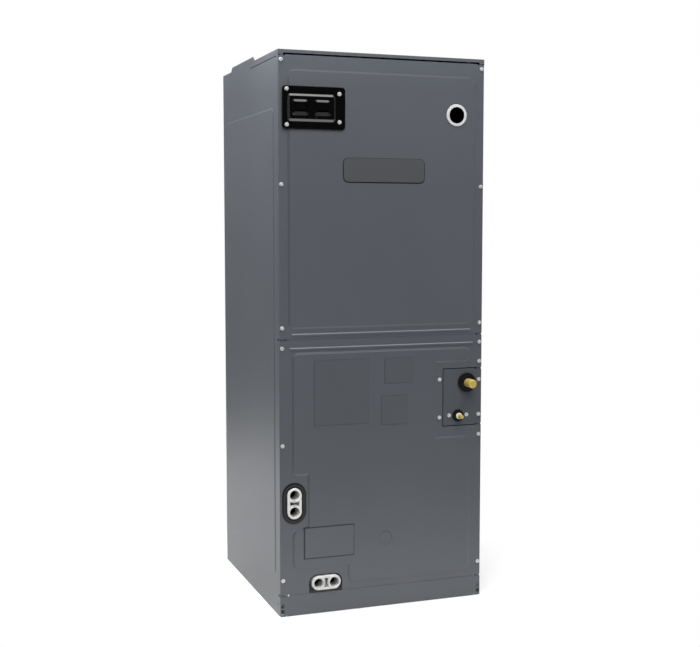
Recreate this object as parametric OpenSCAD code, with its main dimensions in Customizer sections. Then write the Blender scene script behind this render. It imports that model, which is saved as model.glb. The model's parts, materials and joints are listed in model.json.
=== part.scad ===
// Upright residential air handler: a folded sheet cabinet with a blower section over a coil section.
// Millimetres, +Z up. The origin is on the floor under the middle of the cabinet, and the access
// panels face -Y. Heights are taken from the floor or from the top, and widths from the nearer side.

/* [Cabinet] */
// Width across the two side panels
cabinet_w = 533.4; // [500:0.1:640]
// Depth from the access panels to the rear panel
cabinet_d = 536.6; // [525:0.1:640]
// Height from the floor to the top caps
cabinet_h = 1357; // [1320:1:1500]
// Thickness of the folded sheet
sheet_t = 1.2; // [0.8:0.1:1.6]
// Visible gap between neighbouring panels
panel_gap = 0.6; // [0.5:0.1:0.9]
// Slip clearance between pieces that nest
fit_gap = 0.3; // [0.2:0.05:0.5]
// Thickness of the faced lining
liner_t = 19; // [12:1:22]

/* [Side and rear panels] */
// Height by which the pressed fields stand proud on the sides and rear
side_field_h = 1.2; // [0.8:0.1:3]
// Run of the sloping edge round a side or rear field
side_field_slope = 3.5; // [2:0.5:6]
// Margin of the side field from the front and rear edges
side_field_margin = 38; // [30:1:60]
// Drop of the side field below the cabinet top
side_field_drop = 132; // [100:1:200]
// Height of the side field's lower edge above the floor
side_field_foot = 95; // [70:1:140]
// Width of the front flange that takes the panel screws
side_flange_w = 12.5; // [10:0.5:13]
// Width of the rear return
rear_flange_w = 15; // [10:1:15]
// Radius of the small tooling hole near the foot
tool_hole_r = 2.6; // [1:0.1:4]
// Distance of the tooling hole behind the front plane
tool_hole_y = 17.5; // [16.5:0.5:30]
// Height of the tooling hole above the floor
tool_hole_z = 28; // [15:1:60]

/* [Top] */
// Depth of the front cap, from the front plane to the supply opening
cap_d = 217; // [205:1:240]
// Height of the cap's side skirts
skirt_h = 14; // [13:0.5:20]
// Length by which the side skirts run on under the duct flange tabs
skirt_run = 28; // [20:1:40]
// Open joint under the side skirts
skirt_gap = 1.8; // [1:0.1:3]
// Height of the cap's front lip
lip_h = 8; // [6:0.5:9]
// Height of the dark slot under the lip
slot_h = 4; // [2:0.5:4]
// Width of the solid corners beside the slot
ear_w = 13; // [8:0.5:20]
// Front to back length of the supply opening
supply_d = 220; // [200:1:240]
// Height of the duct flanges above the top
duct_flange_h = 10.5; // [8:0.5:20]
// Distance of the front and rear duct flanges' ends from the side panels
flange_end = 24; // [15:1:40]
// Slope of the flange tab ends
tab_chamfer = 12; // [8:0.5:15]
// Length by which a flange tab runs past the supply opening
tab_lap = 9; // [5:0.5:12]

/* [Access panels] */
// Height of the joint between the upper and lower panel
joint_z = 674; // [660:1:690]
// Height of the filter door at the foot
door_h = 51.5; // [51:0.5:52]
// Depth of the panel returns along the sides
return_d = 12; // [8:0.5:14]
// Length of the corner relief cut across the front
relief_w = 15.5; // [10:0.5:20]
// Radius of the relief hole that ends the cut
relief_r = 2.6; // [1.5:0.1:3]
// Height of the relief at each panel corner
relief_h = 2.5; // [1.5:0.1:3]
// Width of the notch at the very corner
notch_w = 5; // [3:0.5:7]
// Height by which the front fields stand proud
field_h = 2.2; // [1.5:0.1:3]
// Run of the sloping edge round a field
field_slope = 5; // [3:0.5:7]
// Corner radius of a field
field_r = 18; // [15:1:24]
// Margin of the upper field from the panel's sides
field_side = 22.5; // [20:0.5:24]
// Margin of the upper field from the panel's top
field_top = 32.5; // [25:0.5:45]
// Margin of the upper field from the panel's foot
field_foot = 25; // [23:1:40]
// Margin of the lower field from its panel's top
low_field_top = 31; // [30:0.5:50]
// Margin of the lower field from its panel's sides
low_field_side = 31; // [28:0.5:36]
// Margin of the lower field from its panel's foot
low_field_foot = 15; // [10:1:25]
// Radius of the pressed beads along the joint
bead_r = 3.8; // [3:0.1:4.5]
// Height of the upper bead above the upper panel's foot
bead_up = 10.5; // [9:0.5:14]
// Distance of the upper bead's ends from the sides
bead_up_side = 30.5; // [26:0.5:36]
// Drop of the lower bead below the lower panel's top
bead_down = 22.5; // [15:0.5:24]
// Distance of the lower bead's ends from the sides
bead_down_side = 24; // [20:0.5:30]
// Distance of the round knock-out from the middle
knockout_x = 5; // [-40:1:60]
// Height of the round knock-out's centre
knockout_z = 171.5; // [150:0.5:300]
// Radius of the round knock-out
knockout_r = 17.8; // [12:0.1:25]
// Width of the slots at the ends of the filter door
door_slot_w = 8.5; // [5:0.5:9]
// Distance of those slots from the sides
door_slot_x = 1.4; // [1.3:0.1:3]

/* [Line set plate] */
// Width of the plate from the right side
plate_w = 105.7; // [95:0.1:120]
// Height of the plate
plate_h = 142.9; // [130:0.1:160]
// Height of the plate's lower edge above the floor
plate_z = 444.5; // [430:0.5:460]
// Open joint round the plate
plate_gap = 2; // [1:0.1:3]
// Field margin to the left of the plate
plate_field_left = 18; // [16:0.5:30]
// Field margin above the plate
plate_field_above = 16.6; // [14:0.1:20]
// Field margin below the plate
plate_field_below = 26.8; // [20:0.1:40]

/* [Refrigerant stubs] */
// Radius of the suction stub
suction_r = 11.11; // [9.5:0.01:11.2]
// Length of the suction stub in front of the plate
suction_len = 39; // [30:1:60]
// Distance of the suction stub from the right side
suction_x = 42; // [38:0.5:50]
// Height of the suction stub above the plate's lower edge
suction_z = 107.5; // [95:0.5:112]
// Radius of the liquid stub
liquid_r = 4.76; // [3.1:0.01:6.4]
// Length of the liquid stub in front of the plate
liquid_len = 27; // [24:1:45]
// Distance of the liquid stub from the right side
liquid_x = 65.4; // [55:0.5:75]
// Height of the liquid stub above the plate's lower edge
liquid_z = 24.1; // [20:0.1:35]
// Width of rubber round the suction stub, out to the grommet's edge
suction_rubber = 12.9; // [11:0.1:15]
// Width of rubber round the liquid stub, out to the grommet's edge
liquid_rubber = 10.5; // [9:0.5:13]
// Wall of the suction grommet where it passes the plate
suction_barrel = 6; // [4:0.5:8]
// Wall of the liquid grommet where it passes the plate
liquid_barrel = 5; // [3:0.5:6]
// Height of the suction grommet's flange
suction_flange_h = 6; // [4:0.5:8]
// Height of the suction grommet's raised step
suction_step_h = 4; // [3:0.5:10]
// Height of the liquid grommet's flange
liquid_flange_h = 3.5; // [2.5:0.5:5]
// Height of the liquid grommet's raised step
liquid_step_h = 3.5; // [2:0.5:6]
// Height of the collar round the liquid stub
collar_h = 4; // [2:0.5:6]
// Length of tube behind the plate
tube_back = 60; // [40:5:90]

/* [Drain fittings] */
// Length of a drain fitting
drain_l = 76; // [74:0.5:80]
// Width of a drain fitting
drain_w = 36; // [35:0.5:38]
// Radius of a drain port
port_r = 12; // [10:0.1:13]
// Distance between the two ports of a fitting
port_pitch = 41; // [38:0.5:41]
// Depth of a drain port
port_depth = 24; // [16:1:26]
// Height by which a fitting stands in front of the panel
drain_proud = 5; // [4:0.5:8]
// Depth of the waisted recess between the ports
waist_depth = 12; // [8:1:18]
// Radius of the water way behind a port
way_r = 9; // [7:0.5:9.5]
// Wall between a port and the waisted recess
port_rim = 6; // [4:0.5:7]
// Wall between the waisted recess and the fitting's edge
waist_rim = 6.5; // [5:0.5:9]
// Distance of the upper fitting from the left side
drain_up_x = 36; // [35.5:0.1:37]
// Height of the upper fitting's centre
drain_up_z = 277; // [250:1:300]
// Width of the gasket round the upper fitting
gasket_w = 12; // [9:0.1:12.5]
// Distance of the lower fitting from the left side
drain_low_x = 115.5; // [100:0.5:130]
// Height of the lower fitting above the lower panel's foot
drain_low_lift = 5.2; // [3.5:0.1:6]
// Clearance between the lower fitting and its arch
arch_gap = 3.2; // [2:0.1:4]
// Field margin round the drain cut-outs
drain_field_margin = 16; // [14:0.5:20]
// Field margin beside the upright drain slot
drain_field_side = 4; // [3:0.5:8]

/* [Upper panel fittings] */
// Width of the breaker cover
breaker_w = 156.7; // [140:0.1:170]
// Height of the breaker cover
breaker_h = 101.2; // [95:0.1:110]
// Distance of the breaker cover from the left side
breaker_x = 8.7; // [6:0.1:12]
// Drop of the breaker cover's centre below the top
breaker_drop = 134.4; // [120:0.1:150]
// Thickness of the breaker cover's plate
breaker_t = 3; // [2:0.5:4]
// Rise of the cover's plateau above its plate
plateau_h = 5; // [3:0.5:8]
// Width of a blank in the plateau
blank_w = 41; // [36:0.5:44]
// Height of a blank in the plateau
blank_h = 37.5; // [30:0.5:40]
// Shift of the blanks from the plateau's middle
blank_shift = -1.7; // [-3:0.1:3]
// Distance between the centres of the two blanks
blank_pitch = 55.5; // [50:0.1:57]
// Margin of the window behind the cover, inside the plateau's edge
window_lap = 8; // [7:0.5:12]
// Radius of the open bore of the cable bushing
bushing_bore_r = 20; // [16:0.5:24]
// Width of the bushing's rim
bushing_rim = 7; // [5:0.25:9]
// Height of the bushing's rim above the field
bushing_rim_h = 2.6; // [2:0.1:5]
// Wall of the bushing's barrel
bushing_wall = 3; // [2:0.5:4]
// Distance of the bushing from the right side
bushing_x = 75.7; // [65:0.1:90]
// Drop of the bushing below the top
bushing_drop = 139.6; // [120:0.1:160]
// Width of the blank badge plate
badge_w = 209.3; // [180:0.1:230]
// Height of the blank badge plate
badge_h = 56.4; // [45:0.1:65]
// Drop of the badge plate's centre below the top
badge_drop = 277.8; // [260:0.1:300]
// Corner radius of the badge plate
badge_r = 12; // [8:1:16]
// Thickness of the badge plate
badge_t = 1.5; // [1:0.1:2.5]

/* [Blower] */
// Drop of the blower deck below the cabinet top
deck_drop = 227; // [215:1:240]
// Outer radius of the blower wheel
wheel_r = 127; // [115:1:130]
// Width of the blower wheel
wheel_w = 254; // [220:1:260]
// Number of blades on the wheel
blade_count = 40; // [24:2:48]
// Radial length of a blade
blade_len = 22; // [16:1:26]
// Running gap between the wheel and the scroll at its tightest
cutoff_gap = 13; // [10:1:16]
// Growth of the scroll from the tightest point to the outlet
scroll_growth = 75; // [60:1:80]
// Running gap between the wheel and each side of the scroll
wheel_side_gap = 18; // [12:1:24]
// Distance of the outlet's rear edge in front of the supply opening's rear edge
outlet_setback = 15; // [5:1:20]
// Height of the outlet neck above the tightest point of the scroll
outlet_neck = 85; // [70:1:95]
// Distance of the control partition in front of the supply opening
partition_setback = 12; // [10:1:20]
// Radius of the motor
motor_r = 70; // [55:1:75]
// Length of the motor
motor_len = 130; // [110:1:150]

/* [Coil] */
// Thickness of a coil slab
slab_t = 60; // [45:1:65]
// Length of a coil slab, along its slope
slab_len = 500; // [440:5:515]
// Distance of a slab's foot from the lining
slab_foot_gap = 59; // [56:1:66]
// Distance of a slab's top from the middle
slab_top_x = 40.8; // [38:0.1:60]
// Distance of the slabs' ends from the ends of the drain pan
slab_end_gap = 22; // [16:1:30]
// Height of the drain pan above the lower panel's foot
pan_lift = 8; // [6:1:12]
// Distance of the drain pan from the lining at the sides
pan_side_gap = 11; // [8:1:14]
// Distance of the drain pan from the lining at the rear
pan_rear_gap = 12; // [8:1:20]
// Width of the drain pan's trough under each slab
pan_trough = 105; // [98:1:112]
// Width of the drain pan's trough at the front and rear
pan_end_trough = 60; // [45:1:70]
// Height of the drain pan
pan_h = 45; // [40:1:50]
// Wall of the drain pans
pan_t = 3; // [2:0.5:4]

/* [Base] */
// Width of the flange round the return opening
base_flange_w = 25; // [18:1:26]
// Clear height for the air filter
filter_h = 31; // [26:1:31]

/* [Hidden] */
$fn = 64;

// Finishes
paint = [0.33, 0.34, 0.37];
black_plastic = [0.05, 0.05, 0.06];
white_plastic = [0.86, 0.86, 0.85];
brass = [0.80, 0.68, 0.32];
bare_steel = [0.66, 0.67, 0.68];
foil = [0.74, 0.75, 0.76];
rubber = [0.06, 0.06, 0.06];

// Planes of the cabinet; depths are counted from the front plane
half_w = cabinet_w / 2;
front_y = -cabinet_d / 2;
over = 1;
flange_y = sheet_t + fit_gap;
side_start = return_d + fit_gap;
leg_x = half_w - 2 * sheet_t - fit_gap;
rail_y = flange_y + sheet_t + fit_gap;
rail_d = 18;
inner_y = rail_y + rail_d + fit_gap;
rear_inner_y = cabinet_d - 2 * sheet_t - fit_gap;
side_inner_x = half_w - sheet_t - fit_gap;
liner_x = side_inner_x - liner_t;
liner_rear_y = rear_inner_y - liner_t;
room_x = liner_x - fit_gap;
room_rear_y = liner_rear_y - fit_gap;

// Heights of the front panels
door_z1 = door_h - panel_gap / 2;
low_z0 = door_h + panel_gap / 2;
low_z1 = joint_z - panel_gap / 2;
up_z0 = joint_z + panel_gap / 2;
up_z1 = cabinet_h - lip_h - slot_h;
side_top = cabinet_h - skirt_h - skirt_gap;
liner_top = cabinet_h - sheet_t - fit_gap;
field_x = half_w - field_side;
low_field_x = half_w - low_field_side;
low_field_z1 = low_z1 - low_field_top;
low_field_z0 = low_z0 + low_field_foot;

// Foot and height of the slots at each end of the filter door
door_slots = [[3, 13.5], [21, 10]];
door_slot_mid = half_w - door_slot_x - door_slot_w / 2;

// Top opening
tab_y0 = cap_d;
tab_y1 = cap_d + supply_d;
skirt_y1 = cap_d + skirt_run;
flange_x = side_inner_x - flange_end;
strip_skirt = skirt_h + 6;

// Line set plate
plate_x0 = half_w - plate_w;
plate_z1 = plate_z + plate_h;
suction_at = [half_w - suction_x, plate_z + suction_z];
liquid_at = [half_w - liquid_x, plate_z + liquid_z];
tube_play = 0.25;
grommet_lip = 3;
suction_front = suction_flange_h + suction_step_h;
liquid_front = liquid_flange_h + liquid_step_h;
suction_seat = suction_r + suction_barrel;
liquid_seat = liquid_r + liquid_barrel;

// Drain fittings
drain_up_at = [drain_up_x - half_w, drain_up_z];
drain_low_at = [drain_low_x - half_w, low_z0 + drain_low_lift + drain_w / 2];
arch_top = drain_low_at[1] + drain_w / 2 + arch_gap;
gasket_l = drain_l + 2 * gasket_w;
drain_back = inner_y - fit_gap;

// Upper panel fittings
breaker_x0 = breaker_x - half_w;
breaker_z = cabinet_h - breaker_drop;
breaker_screw_inset = 10.9;
breaker_lobe_r = 9;
plateau_inset = [12, 18.5];
plateau_right = 24.5;
bushing_at = [half_w - bushing_x, cabinet_h - bushing_drop];
badge_z = cabinet_h - badge_drop;

// Blower, centred so that its outlet lies under the supply opening
deck_z = cabinet_h - deck_drop;
scroll_r0 = wheel_r + cutoff_gap;
scroll_r1 = scroll_r0 + scroll_growth;
scroll_a0 = 80;
scroll_steps = 40;
blower_half = wheel_w / 2 + wheel_side_gap;
outlet_rear = tab_y1 - outlet_setback;
blower_y = outlet_rear - scroll_r1;
blower_z = deck_z - outlet_neck - scroll_r0;
cut_y = blower_y + scroll_r0 * cos(scroll_a0);
inlet_r = wheel_r - blade_len;
shaft_r = 6.35;
shaft_play = 0.15;
hub_t = 4;
motor_x0 = 24;

// Coil and pan
pan_z0 = low_z0 + pan_lift;
pan_x = room_x - pan_side_gap;
pan_y0 = inner_y;
pan_y1 = room_rear_y - pan_rear_gap;
pan_floor = pan_z0 + pan_t;
slab_foot_x = room_x - slab_foot_gap;
slab_lean = asin((slab_foot_x - slab_top_x) / slab_len);
slab_y0 = pan_y0 + slab_end_gap;
slab_y1 = pan_y1 - slab_end_gap;
slab_z = pan_floor + slab_t / 2 * sin(slab_lean) + fit_gap;
slab_top_z = slab_z + slab_len * cos(slab_lean);
apex_x = slab_top_x + slab_t / 2 * cos(slab_lean);
apex_z = slab_top_z + slab_t / 2 * sin(slab_lean) + fit_gap;

// Extrudes an outline drawn in X and Z between two depths behind the front plane
module from_front(y0, y1) {
    translate([0, front_y + y1, 0]) rotate([90, 0, 0]) linear_extrude(y1 - y0) children();
}

// Extrudes an outline drawn in depth and height between two X planes
module across(x0, x1) {
    translate([x0, front_y, 0]) rotate([90, 0, 90]) linear_extrude(x1 - x0) children();
}

// Turns a shape built up along +Z so that it stands out of the front plane at a place
module on_front(at) {
    translate([at[0], front_y, at[1]]) rotate([90, 0, 0]) children();
}

module box_2d(x0, x1, z0, z1) {
    translate([x0, z0]) square([x1 - x0, z1 - z0]);
}

module round_rect(x0, x1, z0, z1, r) {
    box_2d(x0 + r, x1 - r, z0, z1);
    box_2d(x0, x1, z0 + r, z1 - r);
    for (x = [x0 + r, x1 - r], z = [z0 + r, z1 - r]) translate([x, z]) circle(r);
}

// Slot outline with round ends, lying along X
module obround(l, w) {
    box_2d(-(l - w) / 2, (l - w) / 2, -w / 2, w / 2);
    for (s = [-1, 1]) translate([s * (l - w) / 2, 0]) circle(d = w);
}

// Low boss with sloping sides and rounded corners, standing h above z = 0 on a straight root below it
module pillow(x0, x1, y0, y1, r, h, slope, root) {
    translate([0, 0, -root]) linear_extrude(root) round_rect(x0, x1, y0, y1, r);
    for (x = [x0 + r, x1 - r], y = [y0 + r, y1 - r])
        translate([x, y, 0]) cylinder(h = h, r1 = r, r2 = r - slope);
    translate([x0 + r, 0, 0]) rotate([90, 0, 90]) linear_extrude(x1 - x0 - 2 * r)
        polygon([[y0, 0], [y1, 0], [y1 - slope, h], [y0 + slope, h]]);
    translate([0, y1 - r, 0]) rotate([90, 0, 0]) linear_extrude(y1 - y0 - 2 * r)
        polygon([[x0, 0], [x1, 0], [x1 - slope, h], [x0 + slope, h]]);
}

// Narrow bead pressed out of the front, with rounded ends
module bead(x, z) {
    rise = bead_r * 0.6;
    crest = bead_r - rise;
    on_front([0, z]) {
        for (s = [-1, 1]) translate([s * x, 0, 0]) cylinder(h = rise, r1 = bead_r, r2 = crest);
        translate([-x, 0, 0]) rotate([90, 0, 90]) linear_extrude(2 * x)
            polygon([[-bead_r, 0], [bead_r, 0], [crest, rise], [-crest, rise]]);
    }
}

// A field's outside is rooted in the sheet, and the hollow behind it opens through the sheet's back
function field_root(shift) = shift > 0 ? over : sheet_t / 2;

// Pressed field on the front, moved back by shift
module front_field(x0, x1, z0, z1, shift) {
    r = min(field_r, 0.48 * (z1 - z0));
    translate([0, front_y + shift, 0]) rotate([90, 0, 0])
        pillow(x0, x1, z0, z1, r, field_h, field_slope, field_root(shift));
}

// Flat front of an access panel with its side returns and the relief cuts at its corners
module panel_blank(x0, x1, z0, z1, left_return) {
    difference() {
        union() {
            from_front(0, sheet_t) box_2d(x0, x1, z0, z1);
            if (left_return) from_front(0, return_d) box_2d(x0, x0 + sheet_t, z0, z1);
            from_front(0, return_d) box_2d(x1 - sheet_t, x1, z0, z1);
        }
        if (left_return) corner_reliefs(x0, 1, z0, z1);
        corner_reliefs(x1, -1, z0, z1);
    }
}

// Notches at the top and foot of a return, each with a slit that ends in a relief hole
module corner_reliefs(x, side, z0, z1) {
    slit = relief_h / 3;
    for (end = [[z0, 1], [z1, -1]]) {
        notch_x = [x - side * over, x + side * notch_w];
        notch_z = [end[0] - end[1] * over, end[0] + end[1] * relief_h];
        from_front(-over, return_d + over)
            box_2d(min(notch_x), max(notch_x), min(notch_z), max(notch_z));
        slit_x = [x - side * over, x + side * relief_w];
        slit_z = [end[0] - end[1] * over, end[0] + end[1] * slit];
        from_front(-over, sheet_t + over) {
            box_2d(min(slit_x), max(slit_x), min(slit_z), max(slit_z));
            translate([x + side * relief_w, end[0]]) circle(relief_r);
        }
    }
}

// Casing

// Right side panel: front flange and joggle, rear return, top edge with the duct flange tab
module side_panel() {
    plan = [
        [half_w - sheet_t, side_start, sheet_t, cabinet_d - sheet_t - side_start],
        [leg_x, side_start, 2 * sheet_t + fit_gap, sheet_t],
        [leg_x, flange_y, sheet_t, side_start + sheet_t - flange_y],
        [leg_x + sheet_t - side_flange_w, flange_y, side_flange_w, sheet_t],
        [half_w - rear_flange_w, cabinet_d - 2 * sheet_t, rear_flange_w, sheet_t]
    ];
    behind_skirt = skirt_y1 + fit_gap;
    top_edge = [
        [behind_skirt, side_top - over], [cabinet_d - sheet_t, side_top - over],
        [cabinet_d - sheet_t, cabinet_h], [tab_y1 + tab_lap, cabinet_h],
        [tab_y1 + tab_lap - tab_chamfer, cabinet_h + duct_flange_h],
        [tab_y0 - tab_lap + tab_chamfer, cabinet_h + duct_flange_h],
        [tab_y0 - tab_lap, cabinet_h + fit_gap], [behind_skirt, cabinet_h + fit_gap]
    ];
    difference() {
        union() {
            for (p = plan) translate([p[0], front_y + p[1], 0]) cube([p[2], p[3], side_top]);
            across(half_w - sheet_t, half_w) polygon(top_edge);
            side_field(0);
        }
        side_field(sheet_t);
        across(half_w - sheet_t - over, half_w + over) translate([tool_hole_y, tool_hole_z])
            circle(tool_hole_r);
        // The flange is cut away behind the slots of the filter door
        from_front(flange_y - over, flange_y + sheet_t + over)
            for (slot = door_slots) translate([door_slot_mid - door_slot_w / 2, slot[0]])
                square([leg_x - door_slot_mid + door_slot_w / 2, slot[1]]);
    }
}

// Pressed field of the right side, moved inwards by shift
module side_field(shift) {
    translate([half_w - shift, front_y, 0]) rotate([90, 0, 90])
        pillow(side_field_margin, cabinet_d - side_field_margin, side_field_foot,
            cabinet_h - side_field_drop, field_r, side_field_h, side_field_slope, field_root(shift));
}

module left_side_panel() {
    color(paint) mirror([1, 0, 0]) side_panel();
}

module right_side_panel() {
    color(paint) side_panel();
}

module rear_panel() {
    color(paint) difference() {
        union() {
            from_front(cabinet_d - sheet_t, cabinet_d) box_2d(-half_w, half_w, 0, cabinet_h);
            rear_field(0);
        }
        rear_field(sheet_t);
    }
}

// Pressed field of the rear, moved forwards by shift
module rear_field(shift) {
    translate([0, front_y + cabinet_d - shift, 0]) rotate([90, 0, 180])
        pillow(side_field_margin - half_w, half_w - side_field_margin, side_field_foot,
            cabinet_h - side_field_drop, field_r, side_field_h, side_field_slope, field_root(shift));
}

module top_front_cap() {
    top_z = cabinet_h - sheet_t;
    ear_z = up_z1 + panel_gap / 2;
    color(paint) {
        from_front(0, cap_d - 2 * fit_gap) box_2d(-half_w, half_w, top_z, cabinet_h);
        from_front(cap_d - 2 * fit_gap, cap_d) box_2d(-side_inner_x, side_inner_x, top_z, cabinet_h);
        from_front(cap_d - sheet_t, cap_d)
            box_2d(-flange_x, flange_x, top_z, cabinet_h + duct_flange_h);
        from_front(0, sheet_t) {
            box_2d(-half_w, half_w, cabinet_h - lip_h, cabinet_h);
            box_2d(-half_w, ear_w - half_w, ear_z, cabinet_h);
            box_2d(half_w - ear_w, half_w, ear_z, cabinet_h);
        }
        for (x = [-half_w, half_w - sheet_t]) from_front(0, skirt_y1)
            box_2d(x, x + sheet_t, cabinet_h - skirt_h, cabinet_h);
    }
}

module top_rear_strip() {
    top_z = cabinet_h - sheet_t;
    rear = cabinet_d - sheet_t - fit_gap;
    color(paint) {
        from_front(tab_y1, rear) box_2d(-side_inner_x, side_inner_x, top_z, cabinet_h);
        from_front(tab_y1, tab_y1 + sheet_t)
            box_2d(-flange_x, flange_x, top_z, cabinet_h + duct_flange_h);
        from_front(rear - sheet_t, rear)
            box_2d(rear_flange_w - half_w + fit_gap, half_w - rear_flange_w - fit_gap,
                cabinet_h - strip_skirt, cabinet_h);
    }
}

// Flange of the return opening along the right side
module base_rail_side() {
    from_front(inner_y, rear_inner_y) box_2d(side_inner_x - base_flange_w, side_inner_x, 0, sheet_t);
}

module base_rail_left() {
    color(paint) mirror([1, 0, 0]) base_rail_side();
}

module base_rail_right() {
    color(paint) base_rail_side();
}

module base_rail_rear() {
    inner = side_inner_x - base_flange_w - fit_gap;
    color(paint) from_front(rear_inner_y - base_flange_w, rear_inner_y) box_2d(-inner, inner, 0, sheet_t);
}

// Channel across the cabinet behind the front panels
module cross_channel(z0, z1) {
    end_x = leg_x - fit_gap;
    across(-end_x, end_x) {
        box_2d(rail_y, rail_y + sheet_t, z0, z1);
        box_2d(rail_y, rail_y + rail_d, z0, z0 + sheet_t);
        box_2d(rail_y, rail_y + rail_d, z1 - sheet_t, z1);
    }
}

module header_rail() {
    header_h = 32;
    color(bare_steel) cross_channel(side_top - header_h, side_top);
}

module mid_rail() {
    mid_half = 19;
    color(bare_steel) cross_channel(joint_z - mid_half, joint_z + mid_half);
}

module sill_rail() {
    sill_z0 = sheet_t + filter_h + 2 * sheet_t;
    color(bare_steel) cross_channel(sill_z0, low_z0);
}

// Access panels

module upper_access_panel() {
    window_inset = plateau_inset + [window_lap, window_lap];
    color(paint) difference() {
        union() {
            panel_blank(-half_w, half_w, up_z0, up_z1, true);
            upper_field(0);
            bead(half_w - bead_up_side - bead_r, up_z0 + bead_up);
        }
        upper_field(sheet_t);
        from_front(-field_h - over, sheet_t + over)
            translate(bushing_at) circle(bushing_bore_r + bushing_wall);
        from_front(-field_h - over, sheet_t + over)
            box_2d(breaker_x0 + window_inset[0], breaker_x0 + breaker_w - plateau_right - window_lap,
                breaker_z - breaker_h / 2 + window_inset[1], breaker_z + breaker_h / 2 - window_inset[1]);
    }
}

module upper_field(shift) {
    front_field(-field_x, field_x, up_z0 + field_foot, up_z1 - field_top, shift);
}

module lower_access_panel() {
    color(paint) difference() {
        union() {
            panel_blank(-half_w, half_w, low_z0, low_z1, true);
            lower_field(0);
            bead(half_w - bead_down_side - bead_r, low_z1 - bead_down);
        }
        lower_field(sheet_t);
        // Cut-out for the line set plate
        from_front(-field_h - over, return_d + over)
            box_2d(plate_x0 - plate_gap, half_w + over, plate_z - plate_gap, plate_z1 + plate_gap);
        // Upright slot for the upper drain fitting
        from_front(-field_h - over, sheet_t + over) translate(drain_up_at) rotate(90)
            obround(gasket_l + 2 * fit_gap, drain_w + 2 * gasket_w + 2 * fit_gap);
        // Arch for the lower drain fitting, open at the panel's foot
        from_front(-field_h - over, sheet_t + over) {
            translate(drain_low_at) obround(drain_l + 2 * arch_gap, drain_w + 2 * arch_gap);
            box_2d(drain_low_at[0] - drain_l / 2 - arch_gap, drain_low_at[0] + drain_l / 2 + arch_gap,
                low_z0 - over, drain_low_at[1]);
        }
        knock_out_ring();
    }
}

// The lower field steps round the plate, the drain slot and the arch
module lower_field(shift) {
    plate_left = plate_x0 - plate_field_left;
    slot_right = drain_up_at[0] + drain_w / 2 + gasket_w + drain_field_side;
    slot_z0 = drain_up_z - gasket_l / 2 - drain_field_margin;
    slot_z1 = drain_up_z + gasket_l / 2 + drain_field_margin;
    arch_right = drain_low_at[0] + drain_l / 2 + arch_gap + drain_field_margin;
    over_arch = arch_top + drain_field_margin;
    front_field(0, low_field_x, plate_z1 + plate_field_above, low_field_z1, shift);
    front_field(-low_field_x, plate_left, slot_z1, low_field_z1, shift);
    front_field(slot_right, plate_left, over_arch, low_field_z1, shift);
    front_field(-low_field_x, plate_left, over_arch, slot_z0, shift);
    front_field(slot_right, low_field_x, over_arch, plate_z - plate_field_below, shift);
    front_field(arch_right, low_field_x, low_field_z0, plate_z - plate_field_below, shift);
}

// Scored ring of the round knock-out
module knock_out_ring() {
    score = 0.6;
    on_front([knockout_x, knockout_z]) translate([0, 0, field_h - score]) difference() {
        cylinder(r = knockout_r, h = score + over);
        translate([0, 0, -over]) cylinder(r = knockout_r - 2 * score, h = score + 3 * over);
    }
}

module filter_access_door() {
    color(paint) difference() {
        panel_blank(-half_w, half_w, 0, door_z1, true);
        for (s = [-1, 1], slot = door_slots) from_front(-over, sheet_t + over)
            translate([s * door_slot_mid - door_slot_w / 2, slot[0]]) square([door_slot_w, slot[1]]);
    }
}

module line_set_plate() {
    color(paint) difference() {
        panel_blank(plate_x0, half_w, plate_z, plate_z1, false);
        on_front(suction_at) cylinder(r = suction_seat + fit_gap, h = 4 * sheet_t, center = true);
        on_front(liquid_at) cylinder(r = liquid_seat + fit_gap, h = 4 * sheet_t, center = true);
    }
}

// Fittings on the upper panel

module breaker_cover() {
    z0 = breaker_z - breaker_h / 2;
    z1 = breaker_z + breaker_h / 2;
    x1 = breaker_x0 + breaker_w;
    lobe_rise = 0.8;
    lobe_z = breaker_h / 2 - breaker_lobe_r + lobe_rise;
    plateau_mid = (breaker_x0 + plateau_inset[0] + x1 - plateau_right) / 2;
    plateau_y = front_y - field_h - breaker_t - plateau_h;
    plateau_slope = 5.5;
    plateau_r = 9;
    blank_rise = 4;
    blank_slope = 6;
    blank_r = 7;
    color(black_plastic) {
        from_front(-field_h - breaker_t, -field_h) breaker_outline(z0, z1, x1, lobe_z);
        // The edge beside the field reaches back to the flat of the panel
        from_front(-field_h, 0) intersection() {
            breaker_outline(z0, z1, x1, lobe_z);
            box_2d(-half_w, -field_x - fit_gap, z0 - over, z1 + over);
        }
        translate([0, front_y - field_h - breaker_t, 0]) rotate([90, 0, 0])
            pillow(breaker_x0 + plateau_inset[0], x1 - plateau_right, z0 + plateau_inset[1],
                z1 - plateau_inset[1], plateau_r, plateau_h, plateau_slope, breaker_t / 2);
        for (s = [-1, 1]) translate([plateau_mid + blank_shift + s * blank_pitch / 2, plateau_y, breaker_z])
            rotate([90, 0, 0]) pillow(-blank_w / 2, blank_w / 2, -blank_h / 2, blank_h / 2,
                blank_r, blank_rise, blank_slope, plateau_h / 2);
    }
}

module breaker_outline(z0, z1, x1, lobe_z) {
    round_rect(breaker_x0, x1, z0, z1, breaker_lobe_r);
    for (s = [-1, 1]) translate([breaker_x0 + breaker_screw_inset, breaker_z + s * lobe_z])
        circle(breaker_lobe_r);
}

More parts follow.
